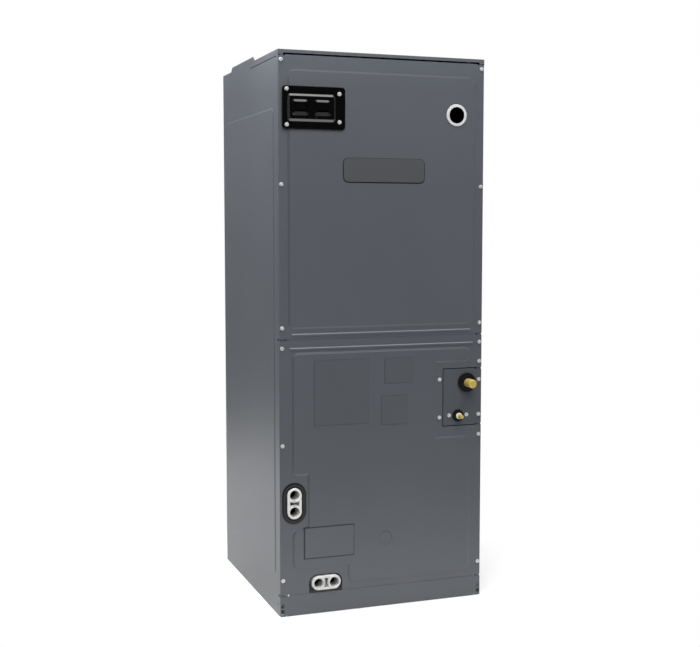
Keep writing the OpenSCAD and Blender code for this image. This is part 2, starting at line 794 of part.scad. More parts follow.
module cable_bushing() {
    rim_r = bushing_bore_r + bushing_rim;
    barrel_r = bushing_bore_r + bushing_wall - fit_gap;
    rim_h = bushing_rim_h;
    barrel_d = 12;
    color(white_plastic) on_front(bushing_at) translate([0, 0, field_h]) rotate_extrude() polygon([
        [bushing_bore_r, -barrel_d], [barrel_r, -barrel_d], [barrel_r, 0], [rim_r, 0],
        [rim_r, rim_h / 2], [rim_r - rim_h / 2, rim_h], [bushing_bore_r, rim_h]
    ]);
}

module badge_plate() {
    color(paint) from_front(-field_h - badge_t, -field_h)
        round_rect(-badge_w / 2, badge_w / 2, badge_z - badge_h / 2, badge_z + badge_h / 2, badge_r);
}

// Line set

// Stepped rubber grommet round a tube, flange in front of the plate and a lip behind it
module grommet(at, bore_r, seat_r, flange_r, flange_h, front) {
    step_r = (bore_r + flange_r) / 2;
    edge = 2;
    lip_d = 8;
    color(rubber) on_front(at) rotate_extrude() polygon([
        [bore_r, -lip_d], [seat_r + grommet_lip, -lip_d], [seat_r + grommet_lip, -sheet_t - fit_gap],
        [seat_r, -sheet_t - fit_gap], [seat_r, 0], [flange_r, 0], [flange_r, flange_h - edge],
        [flange_r - edge, flange_h], [step_r, flange_h], [step_r - 1, front], [bore_r, front]
    ]);
}

// Closed tube stub: it is a hair slimmer where it passes its grommet and collar
module tube_stub(at, tube_r, len, bare_from) {
    nose = 3;
    slim_r = tube_r - tube_play;
    color(brass) on_front(at) rotate_extrude() polygon(concat(
        [[0, -tube_back], [slim_r, -tube_back], [slim_r, bare_from], [tube_r, bare_from]],
        [for (a = [0:15:90]) [tube_r - nose * (1 - cos(a)), len - nose * (1 - sin(a))]],
        [[0, len]]
    ));
}

module suction_grommet() {
    grommet(suction_at, suction_r, suction_seat, suction_r + suction_rubber, suction_flange_h, suction_front);
}

module liquid_grommet() {
    grommet(liquid_at, liquid_r, liquid_seat, liquid_r + liquid_rubber, liquid_flange_h, liquid_front);
}

module suction_stub() {
    tube_stub(suction_at, suction_r, suction_len, suction_front + fit_gap);
}

module liquid_stub() {
    tube_stub(liquid_at, liquid_r, liquid_len, liquid_front + collar_h + 2 * fit_gap);
}

module liquid_collar() {
    collar_wall = 3;
    color(white_plastic) on_front(liquid_at) translate([0, 0, liquid_front + fit_gap]) difference() {
        cylinder(r = liquid_r + collar_wall, h = collar_h);
        translate([0, 0, -over]) cylinder(r = liquid_r + fit_gap, h = collar_h + 2 * over);
    }
}

// Drain fittings

// Oblong two-port fitting lying along X, with a waisted recess between the ports
module drain_fitting(at, turn) {
    color(white_plastic) difference() {
        from_front(-drain_proud, drain_back) translate(at) rotate(turn) obround(drain_l, drain_w);
        on_front(at) rotate(turn) for (s = [-1, 1]) translate([s * port_pitch / 2, 0, 0]) {
            translate([0, 0, drain_proud - port_depth]) cylinder(r = port_r, h = port_depth + over);
            translate([0, 0, -drain_back - over]) cylinder(r = way_r, h = drain_back + drain_proud);
        }
        from_front(-drain_proud - over, waist_depth - drain_proud) translate(at) rotate(turn) difference() {
            square([port_pitch, drain_w - 2 * waist_rim], center = true);
            for (s = [-1, 1]) translate([s * port_pitch / 2, 0]) circle(port_r + port_rim);
        }
    }
}

// Water ways behind a fitting's two ports, through the front wall of a pan
module drain_ways(at, turn) {
    on_front(at) rotate(turn) for (s = [-1, 1]) translate([s * port_pitch / 2, 0, -pan_y0 - pan_t - over])
        cylinder(r = way_r, h = pan_t + 2 * over);
}

module upper_drain_fitting() {
    drain_fitting(drain_up_at, 90);
}

module lower_drain_fitting() {
    drain_fitting(drain_low_at, 0);
}

module drain_gasket() {
    color(rubber) from_front(-sheet_t, sheet_t) translate(drain_up_at) rotate(90) difference() {
        obround(gasket_l, drain_w + 2 * gasket_w);
        obround(drain_l + 2 * fit_gap, drain_w + 2 * fit_gap);
    }
}

// Lining and partitions

module liner_left() {
    color(foil) from_front(inner_y, rear_inner_y) box_2d(-side_inner_x, -liner_x, pan_z0, liner_top);
}

module liner_right() {
    color(foil) from_front(inner_y, rear_inner_y) box_2d(liner_x, side_inner_x, pan_z0, liner_top);
}

module liner_rear() {
    color(foil) from_front(liner_rear_y, rear_inner_y) box_2d(-room_x, room_x, pan_z0, liner_top);
}

module control_partition() {
    from_top = sheet_t + fit_gap;
    color(bare_steel) from_front(cap_d - partition_setback, cap_d - partition_setback + sheet_t)
        box_2d(-room_x, room_x, deck_z + sheet_t, cabinet_h - from_top);
}

// Blower

module blower_deck() {
    color(bare_steel) translate([0, front_y, deck_z]) difference() {
        translate([-room_x, inner_y, 0]) cube([2 * room_x, room_rear_y - inner_y, sheet_t]);
        translate([-blower_half, cut_y, -over])
            cube([2 * blower_half, outlet_rear - cut_y, sheet_t + 2 * over]);
    }
}

// A point of the scroll in depth and height, grown outwards by extra
function scroll_r(a) = scroll_r0 + scroll_growth * (a - scroll_a0) / (360 - scroll_a0);
function scroll_point(a, extra) = [
    blower_y + (scroll_r(a) + extra) * cos(a),
    blower_z + (scroll_r(a) + extra) * sin(a)
];
function scroll_angles(first) = [
    for (i = [first:scroll_steps]) scroll_a0 + (360 - scroll_a0) * i / scroll_steps
];
function scroll_inside() = concat(
    [[cut_y, deck_z]],
    [for (a = scroll_angles(0)) scroll_point(a, 0)],
    [[outlet_rear, deck_z]]
);
function scroll_outside() = concat(
    [[cut_y - sheet_t, deck_z],
        [cut_y - sheet_t, blower_z + sqrt(pow(scroll_r0 + sheet_t, 2) - pow(cut_y - sheet_t - blower_y, 2))]],
    [for (a = scroll_angles(1)) scroll_point(a, sheet_t)],
    [[outlet_rear + sheet_t, deck_z]]
);
function reversed(list) = [for (i = [len(list) - 1:-1:0]) list[i]];

module blower_wrap() {
    color(bare_steel) across(-blower_half, blower_half)
        polygon(concat(scroll_inside(), reversed(scroll_outside())));
}

// Side of the scroll with its round inlet
module blower_side() {
    across(blower_half, blower_half + sheet_t) difference() {
        polygon(scroll_outside());
        translate([blower_y, blower_z]) circle(inlet_r);
    }
}

module blower_side_left() {
    color(bare_steel) mirror([1, 0, 0]) blower_side();
}

module blower_side_right() {
    color(bare_steel) blower_side();
}

// Turns a shape built along +Z so that it lies along +X on the blower's axis
module on_blower_axis() {
    translate([0, front_y + blower_y, blower_z]) rotate([90, 0, 90]) children();
}

module blower_wheel() {
    ring_w = 8;
    hub_r = 16;
    hub_len = 16;
    color(bare_steel) on_blower_axis() difference() {
        union() {
            for (z = [-wheel_w / 2, wheel_w / 2 - ring_w]) translate([0, 0, z]) linear_extrude(ring_w)
                difference() {
                    circle(wheel_r);
                    circle(inlet_r);
                }
            translate([0, 0, -hub_t / 2]) cylinder(r = wheel_r, h = hub_t);
            translate([0, 0, -hub_t / 2]) cylinder(r = hub_r, h = hub_len);
            for (i = [0:blade_count - 1]) rotate(360 * i / blade_count)
                translate([0, 0, -wheel_w / 2]) linear_extrude(wheel_w) blade();
        }
        translate([0, 0, -wheel_w]) cylinder(r = shaft_r + shaft_play, h = 2 * wheel_w);
    }
}

// Forward curved blade between the wheel's inner and outer edge
module blade() {
    blade_t = 1.2;
    sweep = 9;
    steps = 3;
    mid = [for (i = [0:steps])
        let (u = i / steps, r = inlet_r + 1 + (blade_len - 2) * u, a = sweep * u * u)
        [r, a]];
    face = [for (p = mid) p[0] * [cos(p[1]), sin(p[1])]];
    back = [for (p = mid) p[0] * [cos(p[1]), sin(p[1])] + blade_t * [-sin(p[1]), cos(p[1])]];
    polygon(concat(face, reversed(back)));
}

module blower_motor() {
    arm_w = 22;
    arm_t = 3;
    arm_lap = 14;
    arm_x = blower_half + sheet_t;
    color(bare_steel) on_blower_axis() {
        translate([0, 0, motor_x0]) cylinder(r = motor_r, h = motor_len);
        translate([0, 0, -hub_t / 2]) cylinder(r = shaft_r, h = motor_x0 + hub_t);
        for (a = [30, 150, 270]) rotate(a) translate([0, -arm_w / 2, arm_x])
            cube([inlet_r + arm_lap, arm_w, arm_t]);
    }
}

// Coil

// Right slab of the coil, leaning in towards the top
module coil_slab() {
    translate([slab_foot_x, front_y + slab_y0, slab_z]) rotate([0, -slab_lean, 0])
        translate([-slab_t / 2, 0, 0]) cube([slab_t, slab_y1 - slab_y0, slab_len]);
}

module coil_slab_left() {
    color(foil) mirror([1, 0, 0]) coil_slab();
}

module coil_slab_right() {
    color(foil) coil_slab();
}

module coil_apex_plate() {
    color(bare_steel) from_front(slab_y0, slab_y1) box_2d(-apex_x, apex_x, apex_z, apex_z + sheet_t);
}

// Plates that close the two ends of the coil
module coil_end_plates() {
    foot = slab_foot_x - slab_t / 2;
    end_z0 = pan_z0 + pan_h + fit_gap;
    for (y = [slab_y0 - fit_gap - sheet_t, slab_y1 + fit_gap])
        color(bare_steel) from_front(y, y + sheet_t)
            polygon([[-foot, end_z0], [foot, end_z0], [slab_top_x, slab_top_z], [-slab_top_x, slab_top_z]]);
}

// Trough round the foot of the coil, open in the middle for the air
module drain_pan() {
    inner_x = pan_x - pan_trough;
    inner_y0 = pan_y0 + pan_end_trough;
    inner_y1 = pan_y1 - pan_end_trough;
    color(black_plastic) difference() {
        translate([0, front_y, pan_z0]) difference() {
            translate([-pan_x, pan_y0, 0]) cube([2 * pan_x, pan_y1 - pan_y0, pan_h]);
            translate([-inner_x, inner_y0, -over]) cube([2 * inner_x, inner_y1 - inner_y0, pan_h + 2 * over]);
            translate([0, 0, pan_t]) difference() {
                translate([pan_t - pan_x, pan_y0 + pan_t, 0])
                    cube([2 * (pan_x - pan_t), pan_y1 - pan_y0 - 2 * pan_t, pan_h]);
                translate([-inner_x - pan_t, inner_y0 - pan_t, -over])
                    cube([2 * (inner_x + pan_t), inner_y1 - inner_y0 + 2 * pan_t, pan_h + 2 * over]);
            }
        }
        drain_ways(drain_low_at, 0);
    }
}

// Upright pan beside the left slab, open towards the coil
module side_drain_pan() {
    x0 = -room_x;
    side_pan_w = 35;
    side_pan_lift = 4;
    side_pan_h = 320;
    color(black_plastic) difference() {
        translate([x0, front_y + pan_y0, pan_z0 + pan_h + side_pan_lift]) difference() {
            cube([side_pan_w, pan_y1 - pan_y0, side_pan_h]);
            translate([pan_t, pan_t, pan_t])
                cube([side_pan_w, pan_y1 - pan_y0 - 2 * pan_t, side_pan_h - 2 * pan_t]);
        }
        drain_ways(drain_up_at, 90);
    }
}

// Angles on the sides that carry the drain pan
module pan_rails() {
    reach = 45;
    drop = 18;
    color(bare_steel) for (m = [0, 1]) mirror([m, 0, 0]) from_front(inner_y, rear_inner_y) {
        box_2d(side_inner_x - reach, side_inner_x, pan_z0 - sheet_t, pan_z0);
        box_2d(side_inner_x - sheet_t, side_inner_x, pan_z0 - drop, pan_z0);
    }
}

// Angles on the sides that hold the filter down
module filter_rails() {
    reach = 22;
    rise = 6;
    rail_z = sheet_t + filter_h;
    color(bare_steel) for (m = [0, 1]) mirror([m, 0, 0]) from_front(inner_y, rear_inner_y) {
        box_2d(side_inner_x - reach, side_inner_x, rail_z, rail_z + sheet_t);
        box_2d(side_inner_x - sheet_t, side_inner_x, rail_z, rail_z + rise);
    }
}

left_side_panel();
right_side_panel();
rear_panel();
top_front_cap();
top_rear_strip();
base_rail_left();
base_rail_right();
base_rail_rear();
header_rail();
mid_rail();
sill_rail();
upper_access_panel();
lower_access_panel();
filter_access_door();
line_set_plate();
breaker_cover();
cable_bushing();
badge_plate();
suction_grommet();
liquid_grommet();
suction_stub();
liquid_stub();
liquid_collar();
drain_gasket();
upper_drain_fitting();
lower_drain_fitting();
liner_left();
liner_right();
liner_rear();
control_partition();
blower_deck();
blower_wrap();
blower_side_left();
blower_side_right();
blower_wheel();
blower_motor();
coil_slab_left();
coil_slab_right();
coil_apex_plate();
coil_end_plates();
drain_pan();
side_drain_pan();
pan_rails();
filter_rails();
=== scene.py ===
import json
import math
from contextlib import contextmanager

import bmesh
import bpy
from bpy.props import FloatProperty, FloatVectorProperty, IntProperty, PointerProperty
from mathutils import Matrix, Vector

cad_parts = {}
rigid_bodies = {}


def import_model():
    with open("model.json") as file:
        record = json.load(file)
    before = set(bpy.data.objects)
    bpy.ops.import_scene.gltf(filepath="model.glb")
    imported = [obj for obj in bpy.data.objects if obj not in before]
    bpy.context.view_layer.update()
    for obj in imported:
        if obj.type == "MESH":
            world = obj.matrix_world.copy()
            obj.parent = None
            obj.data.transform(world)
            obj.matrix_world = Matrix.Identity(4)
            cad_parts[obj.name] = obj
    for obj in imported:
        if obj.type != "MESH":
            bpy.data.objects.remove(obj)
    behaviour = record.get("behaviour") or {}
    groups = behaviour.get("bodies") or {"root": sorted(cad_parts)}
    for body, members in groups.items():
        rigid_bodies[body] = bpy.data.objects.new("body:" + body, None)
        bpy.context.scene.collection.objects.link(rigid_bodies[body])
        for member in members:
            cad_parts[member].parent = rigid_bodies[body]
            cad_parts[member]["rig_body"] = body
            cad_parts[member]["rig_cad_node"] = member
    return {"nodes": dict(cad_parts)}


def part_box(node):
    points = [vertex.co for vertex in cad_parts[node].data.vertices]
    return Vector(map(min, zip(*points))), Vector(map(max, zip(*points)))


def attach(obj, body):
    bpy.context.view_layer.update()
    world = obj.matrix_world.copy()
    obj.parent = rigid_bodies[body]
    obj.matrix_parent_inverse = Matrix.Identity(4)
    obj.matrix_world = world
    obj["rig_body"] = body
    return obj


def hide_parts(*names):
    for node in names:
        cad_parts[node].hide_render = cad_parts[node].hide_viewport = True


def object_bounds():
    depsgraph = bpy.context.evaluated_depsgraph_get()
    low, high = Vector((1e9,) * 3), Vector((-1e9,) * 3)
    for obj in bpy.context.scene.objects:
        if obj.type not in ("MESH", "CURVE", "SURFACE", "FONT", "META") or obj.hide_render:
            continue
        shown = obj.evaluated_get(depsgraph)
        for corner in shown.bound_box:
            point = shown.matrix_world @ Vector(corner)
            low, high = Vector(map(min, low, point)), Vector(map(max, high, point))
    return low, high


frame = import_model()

bl_info = {
    "name": "Air Handler Dressing",
    "version": (1, 0, 0),
    "blender": (4, 5, 0),
    "location": "View3D > Sidebar > Air Handler",
    "description": "Finishes, fittings, screws and a plain studio for an upright air handler",
    "category": "Object",
}

CAD_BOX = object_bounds()
BODY = "root"
MM = 0.001

# Planes of the cabinet, taken from the frame
FRONT_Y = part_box("filter_access_door")[0].y
FIELD_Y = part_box("upper_access_panel")[0].y
HALF_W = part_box("filter_access_door")[1].x
UPPER_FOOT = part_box("upper_access_panel")[0].z
LOWER_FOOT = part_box("lower_access_panel")[0].z

SHEET_NODES = (
    "left_side_panel", "right_side_panel", "rear_panel", "top_front_cap", "top_rear_strip",
    "base_rail_left", "base_rail_right", "base_rail_rear",
    "upper_access_panel", "lower_access_panel", "filter_access_door", "line_set_plate",
)
GALVANISED_NODES = (
    "sill_rail", "control_partition", "blower_deck", "blower_wrap", "blower_side_left",
    "blower_side_right", "blower_wheel", "coil_apex_plate", "coil_end_plates", "pan_rails",
    "filter_rails",
)
PAN_NODES = ("drain_pan", "side_drain_pan")
LINER_NODES = ("liner_left", "liner_right", "liner_rear")
COIL_NODES = ("coil_slab_left", "coil_slab_right")
DARK_NODES = ("blower_motor", "header_rail", "mid_rail")


def length(name, description, default):
    """A size property in metres."""
    return FloatProperty(
        name=name, description=description, default=default, min=0.0, unit="LENGTH", precision=5)


def colour(name, description, default):
    """A linear colour property."""
    return FloatVectorProperty(
        name=name, description=description, default=default, size=3, min=0.0, max=1.0, subtype="COLOR")


def factor(name, description, default, high=1.0):
    """A plain number property."""
    return FloatProperty(
        name=name, description=description, default=default, min=0.0, max=high, subtype="FACTOR")


def angle(name, description, degrees):
    """An angle property, given in degrees."""
    return FloatProperty(
        name=name, description=description, default=math.radians(degrees), subtype="ANGLE")


class SheetLook(bpy.types.PropertyGroup):
    """Folds and paint of the cabinet's sheet pieces."""

    paint: colour("Paint", "Colour of the baked paint", (0.082, 0.090, 0.103))
    paint_roughness: factor("Paint roughness", "Middle roughness of the paint", 0.34)
    peel: length("Peel size", "Grain of the paint's orange peel", 1.6 * MM)
    bend: length("Bend radius", "Outer radius of a fold", 2.0 * MM)
    door_bend: length("Door bend radius", "Outer radius of the door's folds", 1.0 * MM)
    bead_up: length("Upper bead", "Bright flank's height above the panel's foot", 13.1 * MM)
    bead_down: length("Lower bead", "Bright flank's drop below the panel's top", 19.9 * MM)
    fold_length: length("Fold length", "Shorter edges are left sharp", 25.0 * MM)
    thickness: length("Sheet", "Faces narrower than this are the sheet's own edge", 1.5 * MM)


class ScrewSizes(bpy.types.PropertyGroup):
    """Hex washer-head screws of the panels."""

    flange: length("Flange radius", "Radius of the washer face", 5.0 * MM)
    flange_t: length("Flange thickness", "Height of the washer face", 0.9 * MM)
    hex: length("Hex radius", "Radius over the corners of the hexagon", 4.1 * MM)
    head: length("Head height", "Height of the hexagon above the washer face", 2.6 * MM)
    dimple: length("Dimple radius", "Radius of the dimple in the head", 1.3 * MM)
    dimple_d: length("Dimple depth", "Depth of the dimple in the head", 0.6 * MM)
    inset: length("Inset", "Distance of the panel screws from the sides", 7.2 * MM)
    zinc: colour("Zinc", "Colour of the bright plating", (0.72, 0.72, 0.72))


class FittingLook(bpy.types.PropertyGroup):
    """Finishes of the fittings on the front."""

    white: colour("White plastic", "Colour of the drain fittings", (0.70, 0.70, 0.68))
    # Painted shade deep inside the drain fittings
    socket: colour("Sockets", "Colour deep inside the drain fittings", (0.02, 0.02, 0.02))
    bushing: colour("Bushing", "Colour of the cable bushing", (0.55, 0.56, 0.57))
    cream: colour("Collar", "Colour of the collar round the liquid stub", (0.78, 0.73, 0.60))
    black: colour("Black plastic", "Colour of the breaker cover", (0.001, 0.001, 0.001))
    # Painted sheen on the breaker cover's side slopes
    cover_side_sheen: colour("Cover slopes", "Colour of the breaker cover's side slopes", (0.02, 0.02, 0.021))
    rubber: colour("Rubber", "Colour of the grommets and the gasket", (0.005, 0.005, 0.0055))
    # Painted highlight along the middle of the drain gasket
    gasket: colour("Gasket", "Colour along the middle of the drain gasket", (0.030, 0.030, 0.031))
    brass: colour("Brass", "Colour of the tube stubs", (0.70, 0.53, 0.14))
    badge: colour("Badge", "Colour of the bare badge plate", (0.067, 0.069, 0.074))
    label: colour("Label", "Colour of the bare label plates", (0.086, 0.095, 0.106))
    # Also the colour of the painted shadow round the badge
    border: colour("Border", "Colour of the border round a bare plate", (0.010, 0.011, 0.013))
    edge: length("Edge rounding", "Rounding along moulded edges", 0.7 * MM)
    fitting_edge: length("Fitting rounding", "Rounding along the outline of a drain fitting", 2.4 * MM)
    tile_slope: length("Tile slope", "Extra length of a tile's lower slope", 5.0 * MM)
    label_t: length("Label thickness", "Thickness of a label plate", 0.25 * MM)


class StudioSettings(bpy.types.PropertyGroup):
    """Camera, floor and light."""

    eye: FloatVectorProperty(
        name="Camera place", description="Place of the camera", size=3, subtype="TRANSLATION",
        unit="LENGTH", default=(-1.0469, -2.9424, 0.9413),
    )
    yaw: angle("Camera yaw", "Turn of the camera towards the right", 19.7334)
    pitch: angle("Camera pitch", "Tilt of the camera above the level", -4.66566)
    lens: FloatProperty(name="Lens", description="Focal length", default=60.43, min=10.0, unit="CAMERA")
    floor: colour("Floor", "Colour of the floor", (0.90, 0.90, 0.90))
    bounce: colour("Floor bounce", "Colour that the floor throws back on the object", (0.48, 0.48, 0.48))
    floor_size: length("Floor size", "Radius of the floor", 4.5)
    floor_side: factor("Side sheen", "How bright the floor is in the side's sheen", 1.05, 2.0)
    floor_front: factor("Front sheen", "How bright the floor is in the front's sheen", 1.3, 2.0)
    sky: factor("Overhead light", "Brightness of the studio overhead", 2.0, 3.0)
    gather: factor("Overhead gather", "How closely the overhead light gathers straight above", 3.4, 8.0)
    horizon: factor("Side light", "Brightness of the studio at eye level", 0.02, 3.0)
    back: factor("Back light", "Added brightness at eye level behind the object, on the left", 0.13)
    tilt: factor("Sky tilt", "How much lower the overhead light reaches behind the object", 0.08)
    segments: IntProperty(
        name="Floor segments", description="Corners of the floor", default=96, min=12, max=256)


# Modelling helpers


def deselect_all():
    """Leaves edit mode and deselects every object."""
    if bpy.context.mode != "OBJECT":
        bpy.ops.object.mode_set(mode="OBJECT")
    bpy.ops.object.select_all(action="DESELECT")


def activate(piece):
    """Selects one object alone and makes it active."""
    deselect_all()
    piece.select_set(True)
    bpy.context.view_layer.objects.active = piece


@contextmanager
def editing(piece, mode="FACE"):
    """Opens a piece in edit mode with everything deselected."""
    activate(piece)
    bpy.ops.object.mode_set(mode="EDIT")
    bpy.ops.mesh.select_mode(type=mode)
    bpy.ops.mesh.select_all(action="DESELECT")
    yield
    bpy.ops.object.mode_set(mode="OBJECT")


def pick(piece, kind, test):
    """Selects the vertices, edges or faces that pass a test, in edit mode."""
    bpy.ops.mesh.select_all(action="DESELECT")
    for element in getattr(bmesh.from_edit_mesh(piece.data), kind):
        if test(element):
            element.select_set(True)
    bmesh.update_edit_mesh(piece.data)


def pick_all():
    """Selects the whole mesh, in edit mode."""
    bpy.ops.mesh.select_all(action="SELECT")


def extrude(step):
    """Extrudes what is selected by a step, in edit mode."""
    bpy.ops.mesh.extrude_region_move(TRANSFORM_OT_translate={"value": step})


def move(x=0.0, y=0.0, z=0.0):
    """Moves what is selected, in edit mode."""
    bpy.ops.transform.translate(value=(x, y, z))


def step_in(inset, forward):
    """Insets the selected faces and moves them forward, in edit mode."""
    bpy.ops.mesh.inset(thickness=inset)
    move(y=-forward)


def face_outward():
    """Points all faces outward, in edit mode."""
    pick_all()
    bpy.ops.mesh.normals_make_consistent(inside=False)


def begin(add, **settings):
    """Adds a primitive as the start of a piece, with its place and turn in its mesh."""
    deselect_all()
    add(**settings)
    bpy.ops.object.transform_apply()
    return bpy.context.active_object


def disc(corners, radius, turn=0.0):
    """The start of a piece: one flat face at the origin that stands upright, seen from the front."""
    return begin(
        bpy.ops.mesh.primitive_circle_add, vertices=corners, radius=radius, fill_type="NGON",
        rotation=(math.pi / 2, turn, 0.0))


def finish_modifier(piece, kind, **settings):
    """Adds a modifier and applies it at once."""
    activate(piece)
    modifier = piece.modifiers.new(kind.title(), kind)
    for name, value in settings.items():
        setattr(modifier, name, value)
    bpy.ops.object.modifier_apply(modifier=modifier.name)


def soften(piece, angle, width, clamp=False):
    """Rounds all edges that are sharper than an angle in degrees."""
    finish_modifier(
        piece, "BEVEL", limit_method="ANGLE", angle_limit=math.radians(angle), width=width, segments=3,
        use_clamp_overlap=clamp)


def settle(piece, name, material, stands_for=(), angle=40.0):
    """Smooths a finished piece between its crisp edges and gives it its name, finish and body."""
    activate(piece)
    bpy.ops.object.transform_apply()
    bpy.ops.object.shade_smooth_by_angle(angle=math.radians(angle), keep_sharp_edges=False)
    finish_modifier(piece, "WEIGHTED_NORMAL", mode="FACE_AREA", weight=50, keep_sharp=True)
    piece.name = piece.data.name = name
    piece.data.materials.clear()
    piece.data.materials.append(material)
    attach(piece, BODY)
    if stands_for:
        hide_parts(*stands_for)


def merged_copy(node):
    """A merged copy of a frame node, free of the node's own marks."""
    activate(frame["nodes"][node])
    bpy.ops.object.duplicate()
    piece = bpy.context.active_object
    piece.parent = None
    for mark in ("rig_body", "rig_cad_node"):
        del piece[mark]
    bpy.ops.mesh.customdata_custom_splitnormals_clear()
    with editing(piece):
        pick_all()
        bpy.ops.mesh.remove_doubles(threshold=0.002 * MM)
        bpy.ops.mesh.dissolve_limited(angle_limit=math.radians(0.4))
    return piece


def fillet(corner, radius, steps=5):
    """Points of an arc that rounds the middle one of three profile points."""
    before, at, after = (Vector(p) for p in corner)
    to_before = (before - at).normalized()
    to_after = (after - at).normalized()
    half = to_before.angle(to_after) / 2
    reach = radius / math.tan(half)
    start = at + to_before * reach
    end = at + to_after * reach
    centre = at + (to_before + to_after).normalized() * (radius / math.sin(half))
    turn = (start - centre).angle_signed(end - centre)
    arm = start - centre
    return [centre + Matrix.Rotation(-turn * i / steps, 2) @ arm for i in range(steps + 1)]


def rounded(profile, radii):
    """A profile with some of its corners rounded; radii maps a point's number to its radius."""
    points = []
    for i, point in enumerate(profile):
        if i in radii:
            points += fillet((profile[i - 1], point, profile[i + 1]), radii[i])
        else:
            points.append(Vector(point))
    return points


def turned(profile, centre, steps=72):
    """A turned piece on the front; its profile gives radius and height in front of the centre."""
    (radius, height), (x, y, z) = profile[0], centre
    piece = begin(bpy.ops.mesh.primitive_plane_add, size=MM, location=(x + radius, y - height, z))
    with editing(piece, "VERT"):
        pick_all()
        bpy.ops.mesh.merge(type="CENTER")
        for before, after in zip(profile, profile[1:]):
            extrude((after[0] - before[0], before[1] - after[1], 0.0))
        pick_all()
        bpy.ops.mesh.spin(steps=steps, angle=2 * math.pi, center=centre, axis=(0, 1, 0))
        pick_all()
        bpy.ops.mesh.remove_doubles(threshold=0.005 * MM)
        face_outward()
    return piece


def joined(pieces):
    """Pieces made into one, with their places and turns in the mesh."""
    deselect_all()
    for piece in pieces:
        piece.select_set(True)
    bpy.context.view_layer.objects.active = pieces[0]
    bpy.ops.object.transform_apply()
    bpy.ops.object.join()
    return pieces[0]


def copies(source, places, turn):
    """Copies of a piece joined into one; each has its own mesh and is turned further about Y."""
    made = []
    for i, place in enumerate(places):
        piece = source.copy()
        piece.data = source.data.copy()
        bpy.context.collection.objects.link(piece)
        piece.location = place
        piece.rotation_euler = (0.0, turn * i, 0.0)
        made.append(piece)
    return joined(made)


def round_sizes(node, plane):
    """A round frame node's centre on a plane, its radius, and its reach before and behind the plane."""
    low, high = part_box(node)
    centre = (low + high) / 2
    return Vector((centre.x, plane, centre.z)), (high.x - low.x) / 2, plane - low.y, high.y - plane


# Finishes

# Cabinet paint: its shades, and its tones as shares of the way from the darker to the lighter shade
PAINT_SHADES = (0.95, 1.95)
CLOUD_TONE = 0.1
# Painted highlight on the upper flanks of the beads: its tone, reach and rise
BEAD_HIGHLIGHT_TONE = 0.5
BEAD_HIGHLIGHT_REACH = (1.3 * MM, 1.5 * MM)
BEAD_HIGHLIGHT_RISE = 0.2 * MM
# Painted highlight near the top of the cabinet: its tone and how far down it reaches
TOP_HIGHLIGHT_TONE = 0.14
TOP_HIGHLIGHT_DROP = 100 * MM
# Painted shade on slopes that face up near the top, and a little painted light on those lower down: tones
# and drops below the top
LEDGE_LIGHT_AND_SHADE = (0.07, -0.32)
LEDGE_DROPS = (300 * MM, 110 * MM)
# Painted shade on pressed slopes that face left and painted highlight on those that face right, kept out
# of a band at the corner
LEFT_SLOPE_SHADE = -0.20
RIGHT_SLOPE_HIGHLIGHT = 0.08
CORNER_BAND = (4 * MM, 6 * MM)

# Directions half way between two axes, and how far a pressed slope or a side of the cover faces them
LEFT_SLANT, RIGHT_SLANT = (-0.7, -0.7, 0.0), (0.7, -0.7, 0.0)
UP_SLANT = (0.0, -0.7, 0.7)
LIT_SLANT = (-0.7, 0.0, 0.7)
SLOPE_FACING = (0.78, 0.88)
STEEP_FACING = (0.973, 0.980)

# Drain sockets' painted shade: added depth and reach of the waist, and depth taken off the lit wall
WAIST_DEPTH = 15 * MM
WAIST_REACH = (6 * MM, 11 * MM)
LIT_DEPTH = 18 * MM

# Drain gasket: how far its pale line, a painted highlight, lies inside its rim, and where the line begins
# and ends to fade
GASKET_BAND = 6 * MM
GASKET_PALE = (2.2 * MM, 3.8 * MM)

# Clouds in plastic, and the tones and patterns of the inside pieces
PLASTIC_CLOUD = 0.05
ZINC_TONES = ((0.46, 0.47, 0.48), (0.66, 0.67, 0.68))
FOIL_TONES = ((0.68, 0.69, 0.70), (0.50, 0.51, 0.52))
FIBRE = (0.004, 0.004, 0.004)
SCRIM_TURN = math.radians(35)
# Coil fins: painted shade in the gaps, then the fins' own tone
FIN_TONES = ((0.10, 0.10, 0.11), (0.66, 0.67, 0.68))
FIN_PITCH = 1.8 * MM
FIN_SCALE = 1.0 / (2 * FIN_PITCH) / 3.2


class Graph:
    """A shader node tree under construction."""

    def __init__(self, tree):
        self.tree = tree

    def put(self, socket, value):
        """Links another socket into a socket, or sets its value."""
        if isinstance(value, bpy.types.NodeSocket):
            self.tree.links.new(value, socket)
        else:
            socket.default_value = value

    def node(self, kind, *operands, **values):
        """Outputs of a new node; operands fill its inputs in order, values go to inputs or settings."""
        made = self.tree.nodes.new("ShaderNode" + kind)
        for name, value in values.items():
            key = name.replace("_", " ").title()
            if key in made.inputs:
                self.put(made.inputs[key], value)
            else:
                setattr(made, name, value)
        for socket, value in zip(made.inputs, operands):
            self.put(socket, value)
        return made.outputs

    def calc(self, operation, *operands):
        """The result of a math node on sockets or numbers."""
        return self.node("Math", *operands, operation=operation)[0]

    def spread(self, source, low, high, start=0.3, end=0.7):
        """A value that runs from low to high as a mask runs from start to end."""
        return self.node("MapRange", source, start, end, low, high)[0]

    def noise(self, vector, scale, detail, roughness):
        """The value of a noise pattern."""
        return self.node("TexNoise", vector=vector, scale=scale, detail=detail, roughness=roughness)[0]

    def rays(self):
        """Masks of the rays that see the surroundings directly and of those that mirror them."""
        path = self.node("LightPath")
        seen = self.calc("MAXIMUM", path["Is Camera Ray"], path["Is Transmission Ray"])
        return seen, path["Is Glossy Ray"]


